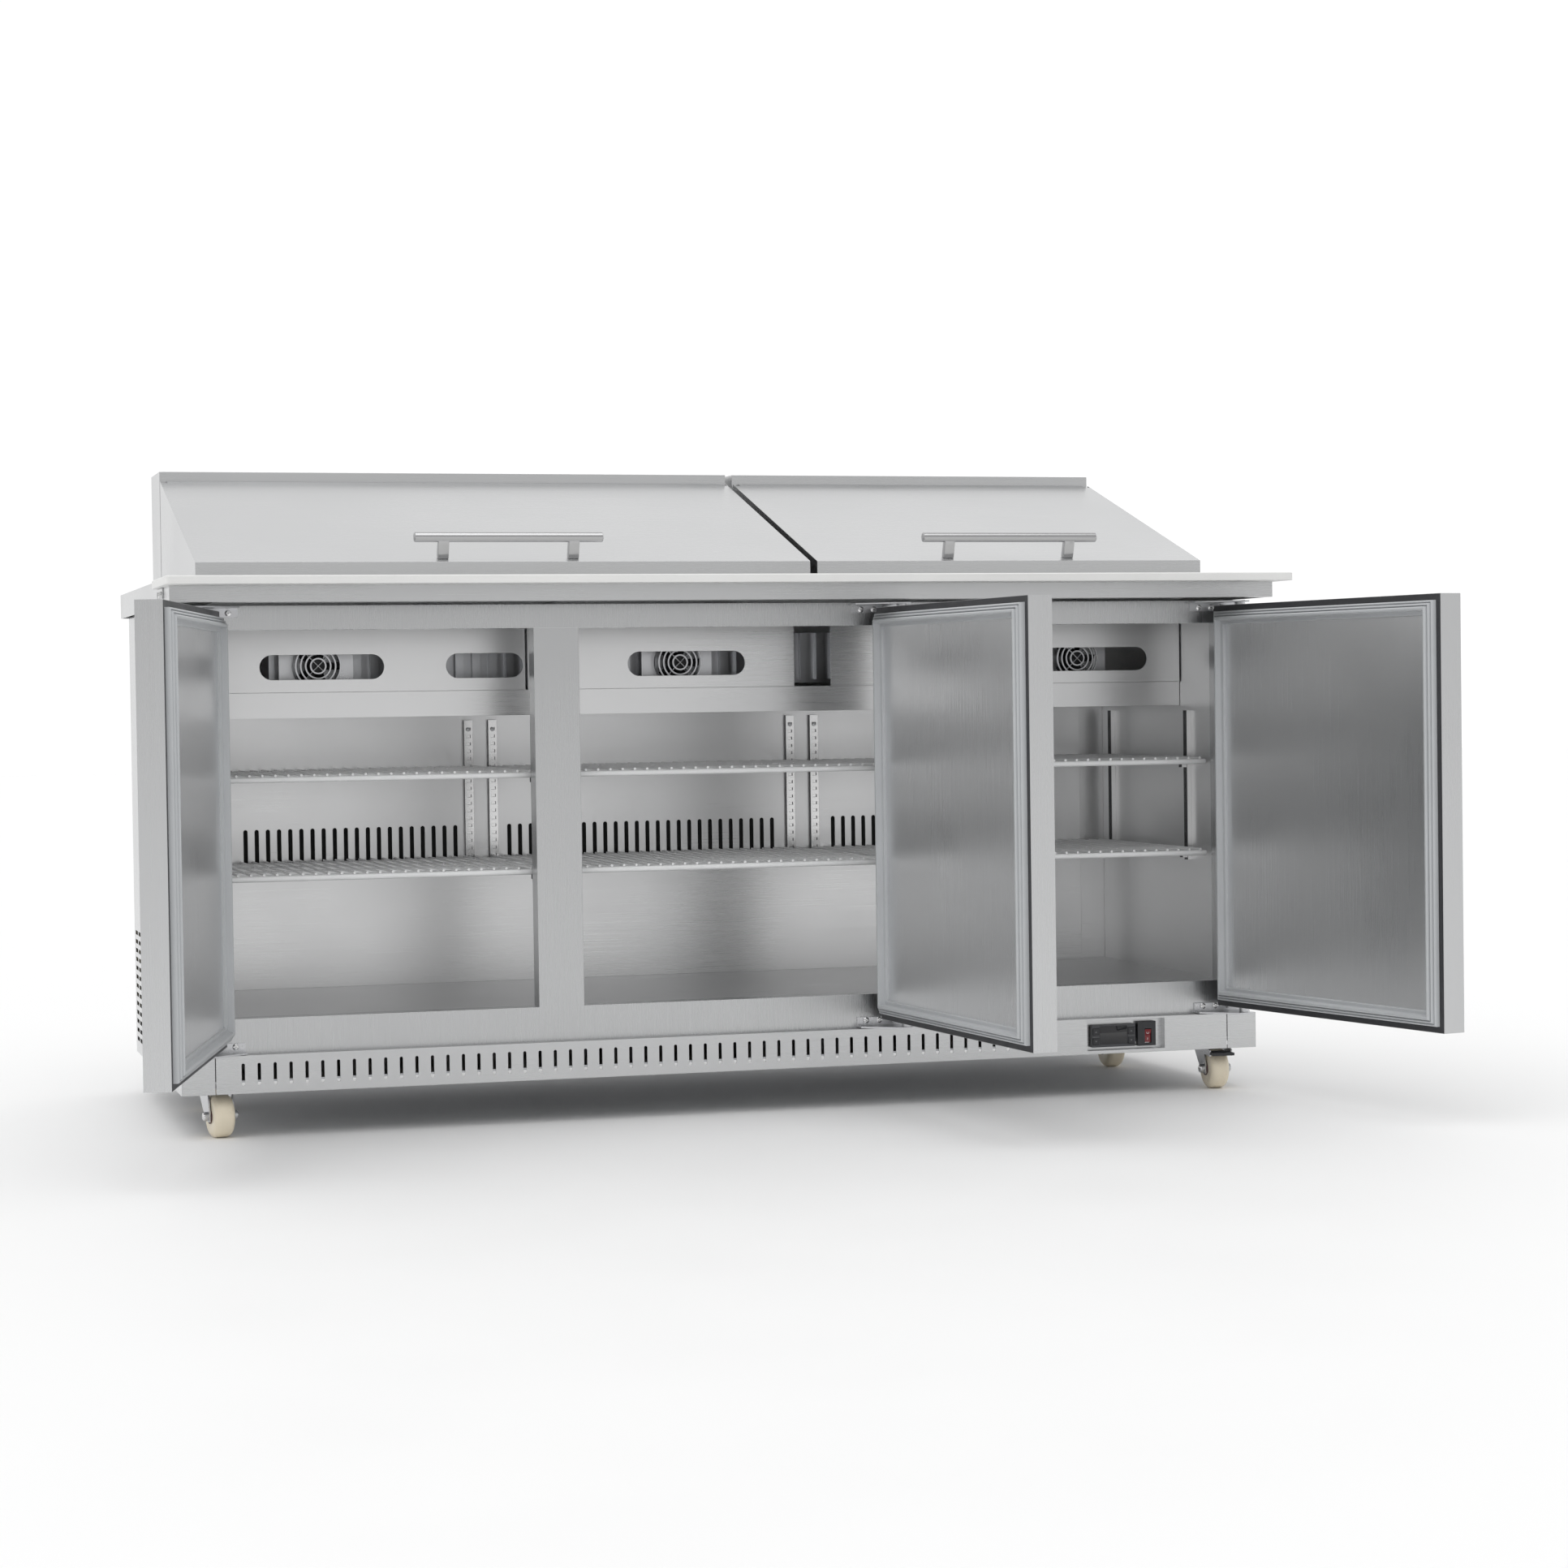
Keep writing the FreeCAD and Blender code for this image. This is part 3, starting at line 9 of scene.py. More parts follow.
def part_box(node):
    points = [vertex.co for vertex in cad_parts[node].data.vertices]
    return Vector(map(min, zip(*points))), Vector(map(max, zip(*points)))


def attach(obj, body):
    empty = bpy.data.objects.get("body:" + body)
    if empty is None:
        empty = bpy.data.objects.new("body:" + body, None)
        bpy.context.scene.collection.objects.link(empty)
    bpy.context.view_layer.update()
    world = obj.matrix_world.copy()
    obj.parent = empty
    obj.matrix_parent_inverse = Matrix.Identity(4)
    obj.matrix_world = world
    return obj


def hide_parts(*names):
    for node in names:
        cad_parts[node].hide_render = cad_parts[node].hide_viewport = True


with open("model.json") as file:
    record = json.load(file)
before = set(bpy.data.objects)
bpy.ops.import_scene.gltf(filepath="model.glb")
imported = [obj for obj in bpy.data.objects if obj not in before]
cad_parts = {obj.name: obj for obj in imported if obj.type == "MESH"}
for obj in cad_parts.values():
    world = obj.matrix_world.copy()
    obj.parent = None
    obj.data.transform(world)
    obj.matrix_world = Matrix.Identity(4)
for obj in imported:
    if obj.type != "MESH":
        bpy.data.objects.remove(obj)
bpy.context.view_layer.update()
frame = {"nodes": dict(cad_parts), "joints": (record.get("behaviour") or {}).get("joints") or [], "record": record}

nodes = frame["nodes"]
joints = {j["name"]: j for j in frame["joints"]}
MM = 0.001
CREASE = math.radians(35)


# ---------------------------------------------------------------- node helpers
class Finish:
    """A Principled material, with short names for the nodes that vary it."""

    def __init__(self, name, colour, metallic, roughness, **constants):
        self.material = bpy.data.materials.new(name)
        self.material.use_nodes = True
        self.tree = self.material.node_tree
        self.shader = self.tree.nodes["Principled BSDF"]
        self.shader.inputs["Base Color"].default_value = (*colour, 1.0)
        self.shader.inputs["Metallic"].default_value = metallic
        self.shader.inputs["Roughness"].default_value = roughness
        self.colour = colour
        self.normal = None
        for key, value in constants.items():
            self.shader.inputs[key.replace("_", " ")].default_value = value

    def noise(self, scale, stretch=(1, 1, 1), detail=3.0, roughness=0.55, seed=0.0):
        place = self.tree.nodes.new("ShaderNodeTexCoord")
        mapping = self.tree.nodes.new("ShaderNodeMapping")
        mapping.inputs["Scale"].default_value = stretch
        mapping.inputs["Location"].default_value = (seed, seed * 0.7, seed * 1.3)
        texture = self.tree.nodes.new("ShaderNodeTexNoise")
        texture.inputs["Scale"].default_value = scale
        texture.inputs["Detail"].default_value = detail
        texture.inputs["Roughness"].default_value = roughness
        self.tree.links.new(place.outputs["Object"], mapping.inputs["Vector"])
        self.tree.links.new(mapping.outputs["Vector"], texture.inputs["Vector"])
        return texture.outputs["Fac"]

    def spread(self, value, low, high, start=0.3, end=0.7):
        node = self.tree.nodes.new("ShaderNodeMapRange")
        node.inputs["From Min"].default_value = start
        node.inputs["From Max"].default_value = end
        node.inputs["To Min"].default_value = low
        node.inputs["To Max"].default_value = high
        self.tree.links.new(value, node.inputs["Value"])
        return node.outputs["Result"]

    def math(self, kind, a, b):
        node = self.tree.nodes.new("ShaderNodeMath")
        node.operation = kind
        for socket, value in zip(node.inputs, (a, b)):
            if isinstance(value, (int, float)):
                socket.default_value = value
            else:
                self.tree.links.new(value, socket)
        return node.outputs["Value"]

    def vary_colour(self, value, dark, light):
        """The base colour, multiplied by dark..light as value goes 0..1."""
        node = self.tree.nodes.new("ShaderNodeMix")
        node.data_type = "RGBA"
        node.inputs["A"].default_value = (*[c * dark for c in self.colour], 1.0)
        node.inputs["B"].default_value = (*[min(1.0, c * light) for c in self.colour], 1.0)
        self.tree.links.new(value, node.inputs["Factor"])
        self.tree.links.new(node.outputs["Result"], self.shader.inputs["Base Color"])

    def vary_roughness(self, value):
        self.tree.links.new(value, self.shader.inputs["Roughness"])

    def edges(self, radius):
        """Softened edges, as on folded sheet or a moulded part."""
        node = self.tree.nodes.new("ShaderNodeBevel")
        node.samples = 4
        node.inputs["Radius"].default_value = radius
        self.normal = node.outputs["Normal"]
        self.tree.links.new(self.normal, self.shader.inputs["Normal"])

    def bump(self, height, strength, distance):
        node = self.tree.nodes.new("ShaderNodeBump")
        node.inputs["Strength"].default_value = strength
        node.inputs["Distance"].default_value = distance
        self.tree.links.new(height, node.inputs["Height"])
        if self.normal:
            self.tree.links.new(self.normal, node.inputs["Normal"])
        self.normal = node.outputs["Normal"]
        self.tree.links.new(self.normal, self.shader.inputs["Normal"])


GRAIN = {"x": (4, 1500, 1500), "y": (1500, 4, 1500), "z": (1500, 1500, 4)}


def brushed(name, axis, colour=(0.60, 0.605, 0.61), low=0.24, high=0.32, streak=0.012, edge=0.0009):
    """Brushed sheet steel, its grain along one axis, with faint cloudy smears over it."""
    finish = Finish(name, colour, 1.0, (low + high) / 2)
    grain = finish.noise(1.0, GRAIN[axis], detail=4.0)
    fine = finish.noise(0.35, GRAIN[axis], detail=2.0, seed=3.1)
    cloud = finish.noise(2.6, detail=3.0, seed=7.7)
    finish.vary_colour(finish.math("ADD", finish.math("MULTIPLY", grain, 0.55),
                                   finish.math("MULTIPLY", cloud, 0.45)), 0.97, 1.02)
    rough = finish.math("ADD", finish.spread(grain, low, high),
                        finish.spread(cloud, -0.03, 0.05))
    finish.vary_roughness(rough)
    if edge:
        finish.edges(edge)
    finish.bump(finish.math("ADD", grain, fine), streak, 0.0004)
    return finish.material


def plain(name, colour, roughness, speck=900.0, bump=0.06, metallic=0.0, edge=0.0006, tone=0.05, **constants):
    """Moulded, painted or plated surface: a fine surface texture and a little unevenness."""
    finish = Finish(name, colour, metallic, roughness, **constants)
    fine = finish.noise(speck, detail=2.0)
    broad = finish.noise(14.0, detail=3.0, seed=2.3)
    finish.vary_colour(finish.spread(broad, 0.0, 1.0), 1.0 - tone, 1.0 + tone * 0.4)
    finish.vary_roughness(finish.math("ADD", finish.spread(broad, roughness - 0.05, roughness + 0.06),
                                      finish.spread(fine, -0.02, 0.02)))
    finish.edges(edge)
    finish.bump(fine, bump, 0.0003)
    return finish.material


steel_x = brushed("stainless_grain_x", "x")
steel_y = brushed("stainless_grain_y", "y")
steel_z = brushed("stainless_grain_z", "z")
steel_door = brushed("stainless_door", "z", edge=0.0)
liner = brushed("liner_steel", "x", colour=(0.75, 0.752, 0.755), low=0.27, high=0.35, streak=0.012)
liner_door = brushed("door_liner_steel", "z", colour=(0.86, 0.865, 0.87), low=0.26, high=0.36, streak=0.02,
                     edge=0.0)
steel_front = brushed("stainless_front", "z", colour=(0.54, 0.545, 0.55), low=0.22, high=0.30)
bright = brushed("bright_steel", "x", colour=(0.74, 0.74, 0.74), low=0.12, high=0.20, streak=0.02,
                 edge=0.0005)
handle_steel = brushed("handle_steel", "x", colour=(0.48, 0.48, 0.485), low=0.14, high=0.22, streak=0.02)
zinc = plain("zinc_plate", (0.62, 0.625, 0.64), 0.30, speck=260.0, bump=0.10, metallic=1.0, tone=0.10)
galvanised = plain("galvanised_sheet", (0.52, 0.53, 0.545), 0.42, speck=90.0, bump=0.05, metallic=1.0,
                   tone=0.09)
vinyl = plain("gasket_vinyl", (0.50, 0.515, 0.53), 0.42, speck=700.0, bump=0.05, tone=0.04,
              Sheen_Weight=0.10)
edge_black = plain("edge_strip_black", (0.035, 0.036, 0.04), 0.45, speck=800.0, bump=0.10, tone=0.10)
black = plain("black_plastic", (0.028, 0.029, 0.032), 0.42, speck=1200.0, bump=0.12, tone=0.10)
dark_grey = plain("bezel_plastic", (0.060, 0.062, 0.068), 0.40, speck=1200.0, bump=0.12, tone=0.08)
screen = plain("window_gloss", (0.008, 0.008, 0.010), 0.06, speck=300.0, bump=0.0, tone=0.02,
               Coat_Weight=0.6)
key_line = plain("key_marking", (0.16, 0.165, 0.17), 0.5, tone=0.03)
red = plain("rocker_red", (0.19, 0.004, 0.008), 0.28, speck=900.0, bump=0.04, tone=0.08, Coat_Weight=0.3)
mark_white = plain("mark_white", (0.85, 0.85, 0.85), 0.45, tone=0.02)
board_white = plain("board_polyethylene", (0.80, 0.80, 0.79), 0.48, speck=420.0, bump=0.16, edge=0.0016,
                    tone=0.02)
epoxy = plain("epoxy_white", (0.84, 0.845, 0.85), 0.22, speck=160.0, bump=0.05, tone=0.03, Coat_Weight=0.5)
nylon = plain("wheel_nylon", (0.88, 0.79, 0.62), 0.30, speck=600.0, bump=0.06, tone=0.06)
aluminium = plain("coil_aluminium", (0.66, 0.67, 0.69), 0.36, speck=300.0, bump=0.05, metallic=1.0)
enamel = plain("black_enamel", (0.02, 0.02, 0.022), 0.30, speck=260.0, bump=0.06, tone=0.10,
               Coat_Weight=0.3)
foam = plain("foam_yellow", (0.62, 0.52, 0.30), 0.85, speck=220.0, bump=0.4, tone=0.12)

BY_NODE = {
    "base_pan": galvanised, "base_panels": steel_x, "board_brackets": steel_y, "caster_plates": zinc,
    "compressor": enamel, "condenser_coil": aluminium, "condenser_fan": black,
    "controller_case": dark_grey, "cord_inlet": black, "counter_top": steel_x, "cutting_board": board_white,
    "evaporator_coil": aluminium, "evaporator_covers": liner, "face_frame": steel_front,
    "fan_guards": zinc, "fan_motors": enamel, "foam_core": foam, "hinge_brackets": zinc,
    "liner_panels": liner, "lower_shelves": epoxy, "rear_hoods": steel_x, "rear_panels": galvanised,
    "return_air_panel": liner, "rocker": red, "shelf_hangers": bright, "side_panels": steel_z,
    "switch_housing": black, "upper_shelves": epoxy,
}
BY_ENDING = {
    "_shell": steel_x, "_core": foam, "_liner": liner_door, "_gasket": vinyl,
    "_handle": handle_steel, "_fork": zinc, "_wheel": nylon, "_pedal": black,
    "_lower": black, "_upper": black, "_left": black,
    "_middle": black, "_right": black,
}
for name, thing in nodes.items():
    finish = BY_NODE.get(name)
    if finish is None:
        finish = next(value for ending, value in BY_ENDING.items() if name.endswith(ending))
    thing.data.materials.clear()
    thing.data.materials.append(finish)
for name in ("door_left_shell", "door_middle_shell", "door_right_shell"):
    nodes[name].data.materials[0] = steel_door

# the slotted standards: their flanks and slot walls stay dull and are painted near-black, painted shade for the
# shadow and dark reflections on those sides
painted_shade_flank = plain("standard_flank_painted_shade", (0.10, 0.10, 0.105), 0.5, metallic=1.0, edge=0.0003)
nodes["shelf_hangers"].data.materials.append(painted_shade_flank)
# faces not facing the front get the near-black painted shade
for face in nodes["shelf_hangers"].data.polygons:
    if abs(face.normal.y) < 0.5:
        face.material_index = 1
washer = plain("washer_dark", (0.10, 0.035, 0.04), 0.4, tone=0.08)
# near-black for sheets behind slots: painted shade for the dark void there
painted_shade_black = plain("painted_shade_black_sheet", (0.006, 0.006, 0.006), 0.85, tone=0.05)


# ---------------------------------------------------------------- mesh helpers
def piece(name, mesh_parts, body, replaced=()):
    """One object from (bmesh, material) parts; it rides on a body."""
    merged = bmesh.new()
    materials = []
    for part, finish in mesh_parts:
        if finish not in materials:
            materials.append(finish)
        index = materials.index(finish)
        for face in part.faces:
            face.material_index = index
        mesh = bpy.data.meshes.new("part")
        part.to_mesh(mesh)
        merged.from_mesh(mesh)
        bpy.data.meshes.remove(mesh)
        part.free()
    bmesh.ops.recalc_face_normals(merged, faces=merged.faces)
    for edge in merged.edges:
        edge.smooth = len(edge.link_faces) == 2 and edge.calc_face_angle(0) < CREASE
    for face in merged.faces:
        face.smooth = True
    mesh = bpy.data.meshes.new(name)
    merged.to_mesh(mesh)
    merged.free()
    for finish in materials:
        mesh.materials.append(finish)
    thing = bpy.data.objects.new(name, mesh)
    bpy.context.scene.collection.objects.link(thing)
    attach(thing, body)
    if replaced:
        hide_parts(*replaced)
    return thing


def revolved(profile, steps=48):
    """A closed (radius, height) outline turned about Z."""
    out = bmesh.new()
    rings = []
    for radius, height in profile:
        if radius < 1e-7:
            rings.append([out.verts.new((0, 0, height))])
        else:
            rings.append([out.verts.new((radius * math.cos(2 * math.pi * i / steps),
                                         radius * math.sin(2 * math.pi * i / steps), height))
                          for i in range(steps)])
    for low, high in zip(rings, rings[1:] + rings[:1]):
        if len(low) == 1 and len(high) == 1:
            continue
        for i in range(steps):
            j = (i + 1) % steps
            corners = [low[i % len(low)], low[j % len(low)], high[j % len(high)], high[i % len(high)]]
            unique = list(dict.fromkeys(corners))
            out.faces.new(unique)
    return out


def block(x0, x1, y0, y1, z0, z1, round_by=0.0, steps=2):
    out = bmesh.new()
    bmesh.ops.create_cube(out, size=1.0)
    for v in out.verts:
        v.co = Vector(((x0 + x1) / 2 + v.co.x * (x1 - x0), (y0 + y1) / 2 + v.co.y * (y1 - y0),
                       (z0 + z1) / 2 + v.co.z * (z1 - z0)))
    if round_by:
        bmesh.ops.bevel(out, geom=list(out.edges), offset=round_by, segments=steps, profile=0.5,
                        affect="EDGES")
    return out


def moved(part, matrix):
    part.transform(matrix)
    return part


def facing(direction, at):
    """Turns +Z to a direction and moves to a point."""
    turn = Vector((0, 0, 1)).rotation_difference(Vector(direction)).to_matrix().to_4x4()
    return Matrix.Translation(Vector(at)) @ turn


def screw_head(radius, height):
    """A pan head with a cross recess, on its seat at the origin, facing +Z."""
    dome = [(0.0, 0.0), (radius, 0.0), (radius, height * 0.35), (radius * 0.9, height * 0.72),
            (radius * 0.66, height * 0.94), (radius * 0.42, height), (0.0, height)]
    head = revolved(dome, 24)
    arm = radius * 0.55
    slim = radius * 0.13
    for wide, deep in ((arm, slim), (slim, arm)):
        recess = block(-wide, wide, -deep, deep, height * 0.92, height * 1.02)
        mesh = bpy.data.meshes.new("recess")
        recess.to_mesh(mesh)
        recess.free()
        head.from_mesh(mesh)
        bpy.data.meshes.remove(mesh)
    return head


# ---------------------------------------------------------------- doors: gasket and edge strip
# (distance in from the gasket's outer edge, height over the door's inner face)
GASKET_OUTLINE = [(0, 0), (0, 6.3), (0.5, 8.0), (1.9, 9.0), (3.3, 8.1), (3.9, 6.4), (4.4, 8.6), (5.1, 11.2),
                  (6.5, 12.2), (7.9, 11.2), (8.5, 8.8), (9.0, 11.6), (9.5, 14.4), (10.8, 15.5),
                  (13.4, 15.5), (14.7, 14.4), (15.2, 9.0), (15.6, 6.2), (16.6, 5.3), (21.0, 5.2),
                  (22.0, 4.2), (22.0, 0)]
STRIP_OUTLINE = [(0.6, 0), (0.6, 0.5), (9.7, 0.5), (9.7, 0)]
DOORS = {"left": 1, "middle": -1, "right": -1}      # +1 where the hinge is on the left
STRIP_OVERHANG = 0.0012


def door_placing(side):
    """The door's own frame: hinge pin at the origin, door along +X, outer face towards -Y, when closed."""
    joint = joints["door_%s_hinge" % side]
    way = DOORS[side]
    angle = joint["range_deg"][1] if way > 0 else -joint["range_deg"][0]
    pin = Vector(joint["pos_m"])
    pin.z = 0
    turn = Matrix.Rotation(math.radians(-way * angle), 4, "Z")
    return Matrix.Translation(pin) @ turn @ Matrix.Diagonal((way, 1, 1, 1))


def box_in(matrix, name):
    inverse = matrix.inverted()
    points = [inverse @ v.co for v in nodes[name].data.vertices]
    return (Vector([min(p[i] for p in points) for i in range(3)]),
            Vector([max(p[i] for p in points) for i in range(3)]))


def mitred_frame(outline, low, high, seat):
    """An outline swept round a rectangle in X-Z, with mitred corners."""
    out = bmesh.new()
    loops = []
    for inset, height in outline:
        a = inset * MM
        y = seat + height * MM
        loops.append([out.verts.new(c) for c in ((low.x + a, y, low.z + a), (high.x - a, y, low.z + a),
                                                 (high.x - a, y, high.z - a), (low.x + a, y, high.z - a))])
    for one, two in zip(loops, loops[1:] + loops[:1]):
        for i in range(4):
            j = (i + 1) % 4
            out.faces.new((one[i], one[j], two[j], two[i]))
    return out


def make_doors():
    for side in DOORS:
        placing = door_placing(side)
        low, high = box_in(placing, "door_%s_gasket" % side)
        strips = mitred_frame(GASKET_OUTLINE, low, high, low.y)
        piece("door_%s_seal" % side, [(moved(strips, placing), vinyl)], "door_" + side,
              ["door_%s_gasket" % side])
        shell_low, shell_high = box_in(placing, "door_%s_core" % side)
        rim = mitred_frame(STRIP_OUTLINE, shell_low - Vector((STRIP_OVERHANG, 0, STRIP_OVERHANG)),
                           shell_high + Vector((STRIP_OVERHANG, 0, STRIP_OVERHANG)), low.y)
        piece("door_%s_edge_strip" % side, [(moved(rim, placing), edge_black)], "door_" + side)


# ---------------------------------------------------------------- casters
WHEEL_BORE = 4.2 * MM
TREAD_ROUNDING = 9 * MM
WASHER_RADIUS = 11.5 * MM
WASHER_SHEET = 1.0 * MM
AXLE_END = 9.0 * MM             # from the wheel's side to the axle's end


def make_wheels():
    for spot in ("front_left", "front_right", "rear_left", "rear_right"):
        joint = joints["caster_%s_roll" % spot]
        low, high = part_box("caster_%s_wheel" % spot)
        radius = (high.z - low.z) / 2
        axis = Vector(joint["axis"])
        centre = Vector(joint["pos_m"])
        half = max(abs((v.co - centre).dot(axis)) for v in nodes["caster_%s_wheel" % spot].data.vertices)
        outline = [(WHEEL_BORE, 2.2 * MM - half), (9 * MM, 2.2 * MM - half), (10 * MM, 1.3 * MM - half),
                   (11.2 * MM, 0.3 * MM - half), (13 * MM, -half)]
        soft = TREAD_ROUNDING
        for step in range(9):
            bend = math.pi / 2 * step / 8
            outline.append((radius - soft + soft * math.sin(bend), soft - soft * math.cos(bend) - half))
        outline += [(r, -h) for r, h in reversed(outline)]
        wheel = moved(revolved(outline, 72), facing(joint["axis"], joint["pos_m"]))
        piece("caster_%s_tread" % spot, [(wheel, nylon)], "caster_%s_wheel" % spot,
              ["caster_%s_wheel" % spot])
        fixings = []
        for way in (-1, 1):
            gap = centre + axis * way * (half + 0.2 * MM)
            disc = revolved([(4.3 * MM, 0), (WASHER_RADIUS, 0), (WASHER_RADIUS, WASHER_SHEET),
                             (4.3 * MM, WASHER_SHEET)], 36)
            fixings.append((moved(disc, facing(axis * way, gap)), washer))
            end = centre + axis * way * (half + AXLE_END)
            fixings.append((moved(screw_head(6.6 * MM, 2.6 * MM), facing(axis * way, end)), bright))
        piece("caster_%s_axle_fixings" % spot, fixings, "caster_%s_swivel" % spot)


# ---------------------------------------------------------------- screws
HINGE_STEPS = (54, 32, 10)      # screws along the bracket, from the pin, in mm


def make_screws():
    frame_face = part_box("face_frame")[0].y
    shell_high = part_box("door_left_shell")[1].z
    base_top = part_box("base_panels")[1].z
    heads = []
    for side, way in DOORS.items():
        pin = joints["door_%s_hinge" % side]["pos_m"]
        for z in (base_top + 11.5 * MM, shell_high - 2.5 * MM):
            for step in HINGE_STEPS:
                at = (pin[0] + way * step * MM, frame_face - 2.5 * MM, z)
                heads.append((moved(screw_head(5.0 * MM, 2.6 * MM), facing((0, -1, 0), at)), bright))
    piece("hinge_screw_heads", heads, "cabinet")
    heads = []
    panel_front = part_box("return_air_panel")[0].y
    hanger_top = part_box("shelf_hangers")[1].z
    hanger_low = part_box("shelf_hangers")[0].z
    left_mullion, right_mullion = mullion_lines()
    for x in (left_mullion - 0.042, left_mullion, right_mullion - 0.042, right_mullion + 0.002):
        for z in (hanger_low + 0.020, hanger_top - 0.016):
            at = (x, panel_front - 0.008, z)
            heads.append((moved(screw_head(3.4 * MM, 1.8 * MM), facing((0, -1, 0), at)), zinc))
    piece("shelf_standard_screws", heads, "cabinet")
    heads = []
    for sign, x in ((-1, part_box("board_brackets")[0].x), (1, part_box("board_brackets")[1].x)):
        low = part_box("board_brackets")[0]
        for y in (low.y + 0.012, low.y + 0.048):
            at = (x - sign * 3.0 * MM, y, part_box("counter_top")[0].z + 16 * MM)
            heads.append((moved(screw_head(5.4 * MM, 3.0 * MM), facing((sign, 0, 0), at)), bright))
    piece("board_bracket_screws", heads, "cabinet")


def mullion_lines():
    """X of the two mullions, halfway between neighbouring compartments' openings."""
    boxes = {o["name"]: o["box_m"] for o in frame["record"]["physics"]["openings"]}
    left = boxes["left_compartment_low"]
    middle = boxes["middle_compartment_low"]
    right = boxes["right_compartment_low"]
    return (left[1][0] + middle[0][0]) / 2, (middle[1][0] + right[0][0]) / 2


# ---------------------------------------------------------------- controls
def ring_mark(radius, thickness, depth):
    return revolved([(radius - thickness, 0), (radius, 0), (radius, depth), (radius - thickness, depth)], 32)


def make_controls():
    case_low, case_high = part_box("controller_case")
    face = case_low.y
    centre_x = (case_low.x + case_high.x) / 2
    glass = block(centre_x - 0.0241, centre_x + 0.0241, face + 0.00005, face + 0.0008,
                  case_low.z + 0.0044, case_high.z - 0.0024, 0.0006)
    parts = [(glass, screen)]
    for side in ("left", "right"):
        low_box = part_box("button_%s_lower" % side)
        high_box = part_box("button_%s_upper" % side)
        middle = (low_box[1].z + high_box[0].z) / 2
        for shift in (-0.0011, 0.0011):
            parts.append((block(low_box[0].x - 0.0006, low_box[1].x + 0.0006, face - 0.0003, face + 0.0006,
                                middle + shift - 0.00035, middle + shift + 0.00035), key_line))
    piece("controller_window", parts, "cabinet")

    for side in ("left", "right"):
        for row in ("lower", "upper"):
            name = "button_%s_%s" % (side, row)
            low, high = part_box(name)
            x = (low.x + high.x) / 2
            z = (low.z + high.z) / 2
            size = 0.0017 if row == "upper" else -0.0017
            mark = bmesh.new()
            corners = [mark.verts.new(c) for c in ((x - 0.0019, low.y - 0.00006, z - size * 0.7),
                                                   (x + 0.0019, low.y - 0.00006, z - size * 0.7),
                                                   (x, low.y - 0.00006, z + size))]
            face_made = mark.faces.new(corners)
            grown = bmesh.ops.extrude_face_region(mark, geom=[face_made])
            for v in (g for g in grown["geom"] if isinstance(g, bmesh.types.BMVert)):
                v.co.y += 0.0002
            piece(name + "_mark", [(mark, key_line)], name)

    low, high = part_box("rocker")
    x = (low.x + high.x) / 2
    middle = (low.z + high.z) / 2
    lean = math.atan2(0.0031, high.z - low.z)
    tilt = Matrix.Rotation(lean, 4, "X")
    marks = []
    pivot = joints["rocker_tilt"]["pos_m"]
    centre_y = pivot[1] - 0.0032
    for z, y, mark in ((middle + 0.0056, (centre_y + low.y) / 2, ring_mark(0.0024, 0.0006, 0.0003)),
                       (middle - 0.0056, (centre_y + low.y + 0.0031) / 2, None)):
        if mark is None:
            mark = block(-0.0004, 0.0004, -0.0024, 0.0024, 0, 0.0003)
        marks.append((moved(mark, Matrix.Translation((x, y + 0.0001, z)) @ tilt
                            @ facing((0, -1, 0), (0, 0, 0))), mark_white))
    piece("rocker_marks", marks, "rocker")


# ---------------------------------------------------------------- lid handles
def capsule(start, end, radius, dome):
    """A rod with softly domed ends."""
    length = (Vector(end) - Vector(start)).length
    outline = [(0, 0), (radius * 0.55, dome * 0.10), (radius * 0.85, dome * 0.38), (radius, dome),
               (radius, length - dome), (radius * 0.85, length - dome * 0.38),
               (radius * 0.55, length - dome * 0.10), (0, length)]
    return moved(revolved(outline, 40), facing(Vector(end) - Vector(start), start))


HANDLE_RADIUS = 0.008
POST_SPREAD = 0.105             # from the handle's middle to each post
POST_LENGTH = 0.030
POST_HALF_WIDTH = 0.0085
POST_HALF_DEPTH = 0.0062


def make_handles():
    for side in ("left", "right"):
        low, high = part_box("lid_%s_handle" % side)
        radius = HANDLE_RADIUS
        bar_z = high.z - radius
        bar_y = low.y + radius
        parts = [(capsule((low.x, bar_y, bar_z), (high.x, bar_y, bar_z), radius, 0.002), handle_steel)]
        middle = (low.x + high.x) / 2
        seat = lid_normal(side)
        for way in (-1, 1):
            foot_x = middle + way * POST_SPREAD
            top = Vector((foot_x, bar_y, bar_z))
            foot = top - seat * 0.034
            post = block(-POST_HALF_WIDTH, POST_HALF_WIDTH, -POST_HALF_DEPTH, POST_HALF_DEPTH, 0, POST_LENGTH,
                         0.0010)
            parts.append((moved(post, facing(seat, foot)), handle_steel))
        piece("lid_%s_grab_bar" % side, parts, "lid_" + side, ["lid_%s_handle" % side])


def lid_normal(side):
    """The lid's outward normal, from its longest sloping face."""
    mesh = nodes["lid_%s_shell" % side].data
    best = max((p for p in mesh.polygons if p.normal.z > 0.5 and p.normal.y < -0.1), key=lambda p: p.area)
    return best.normal.copy()


make_doors()
make_wheels()
make_screws()
make_controls()
make_handles()


def painted_shade_sheet(name, x0, x1, y, z0, z1):
    """A near-black sheet behind a row of slots: painted shade, standing in for the dark void behind them."""
    piece(name, [(block(x0, x1, y, y + 0.0008, z0, z1), painted_shade_black)], "cabinet")


panel_low, panel_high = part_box("return_air_panel")
# painted shade: a near-black sheet behind the return-air slots, where there is only a dark void
painted_shade_sheet("return_air_painted_shade", panel_low.x + 0.004, panel_high.x - 0.004, panel_low.y + 0.0016,
       panel_low.z + 0.004, panel_high.z - 0.004)

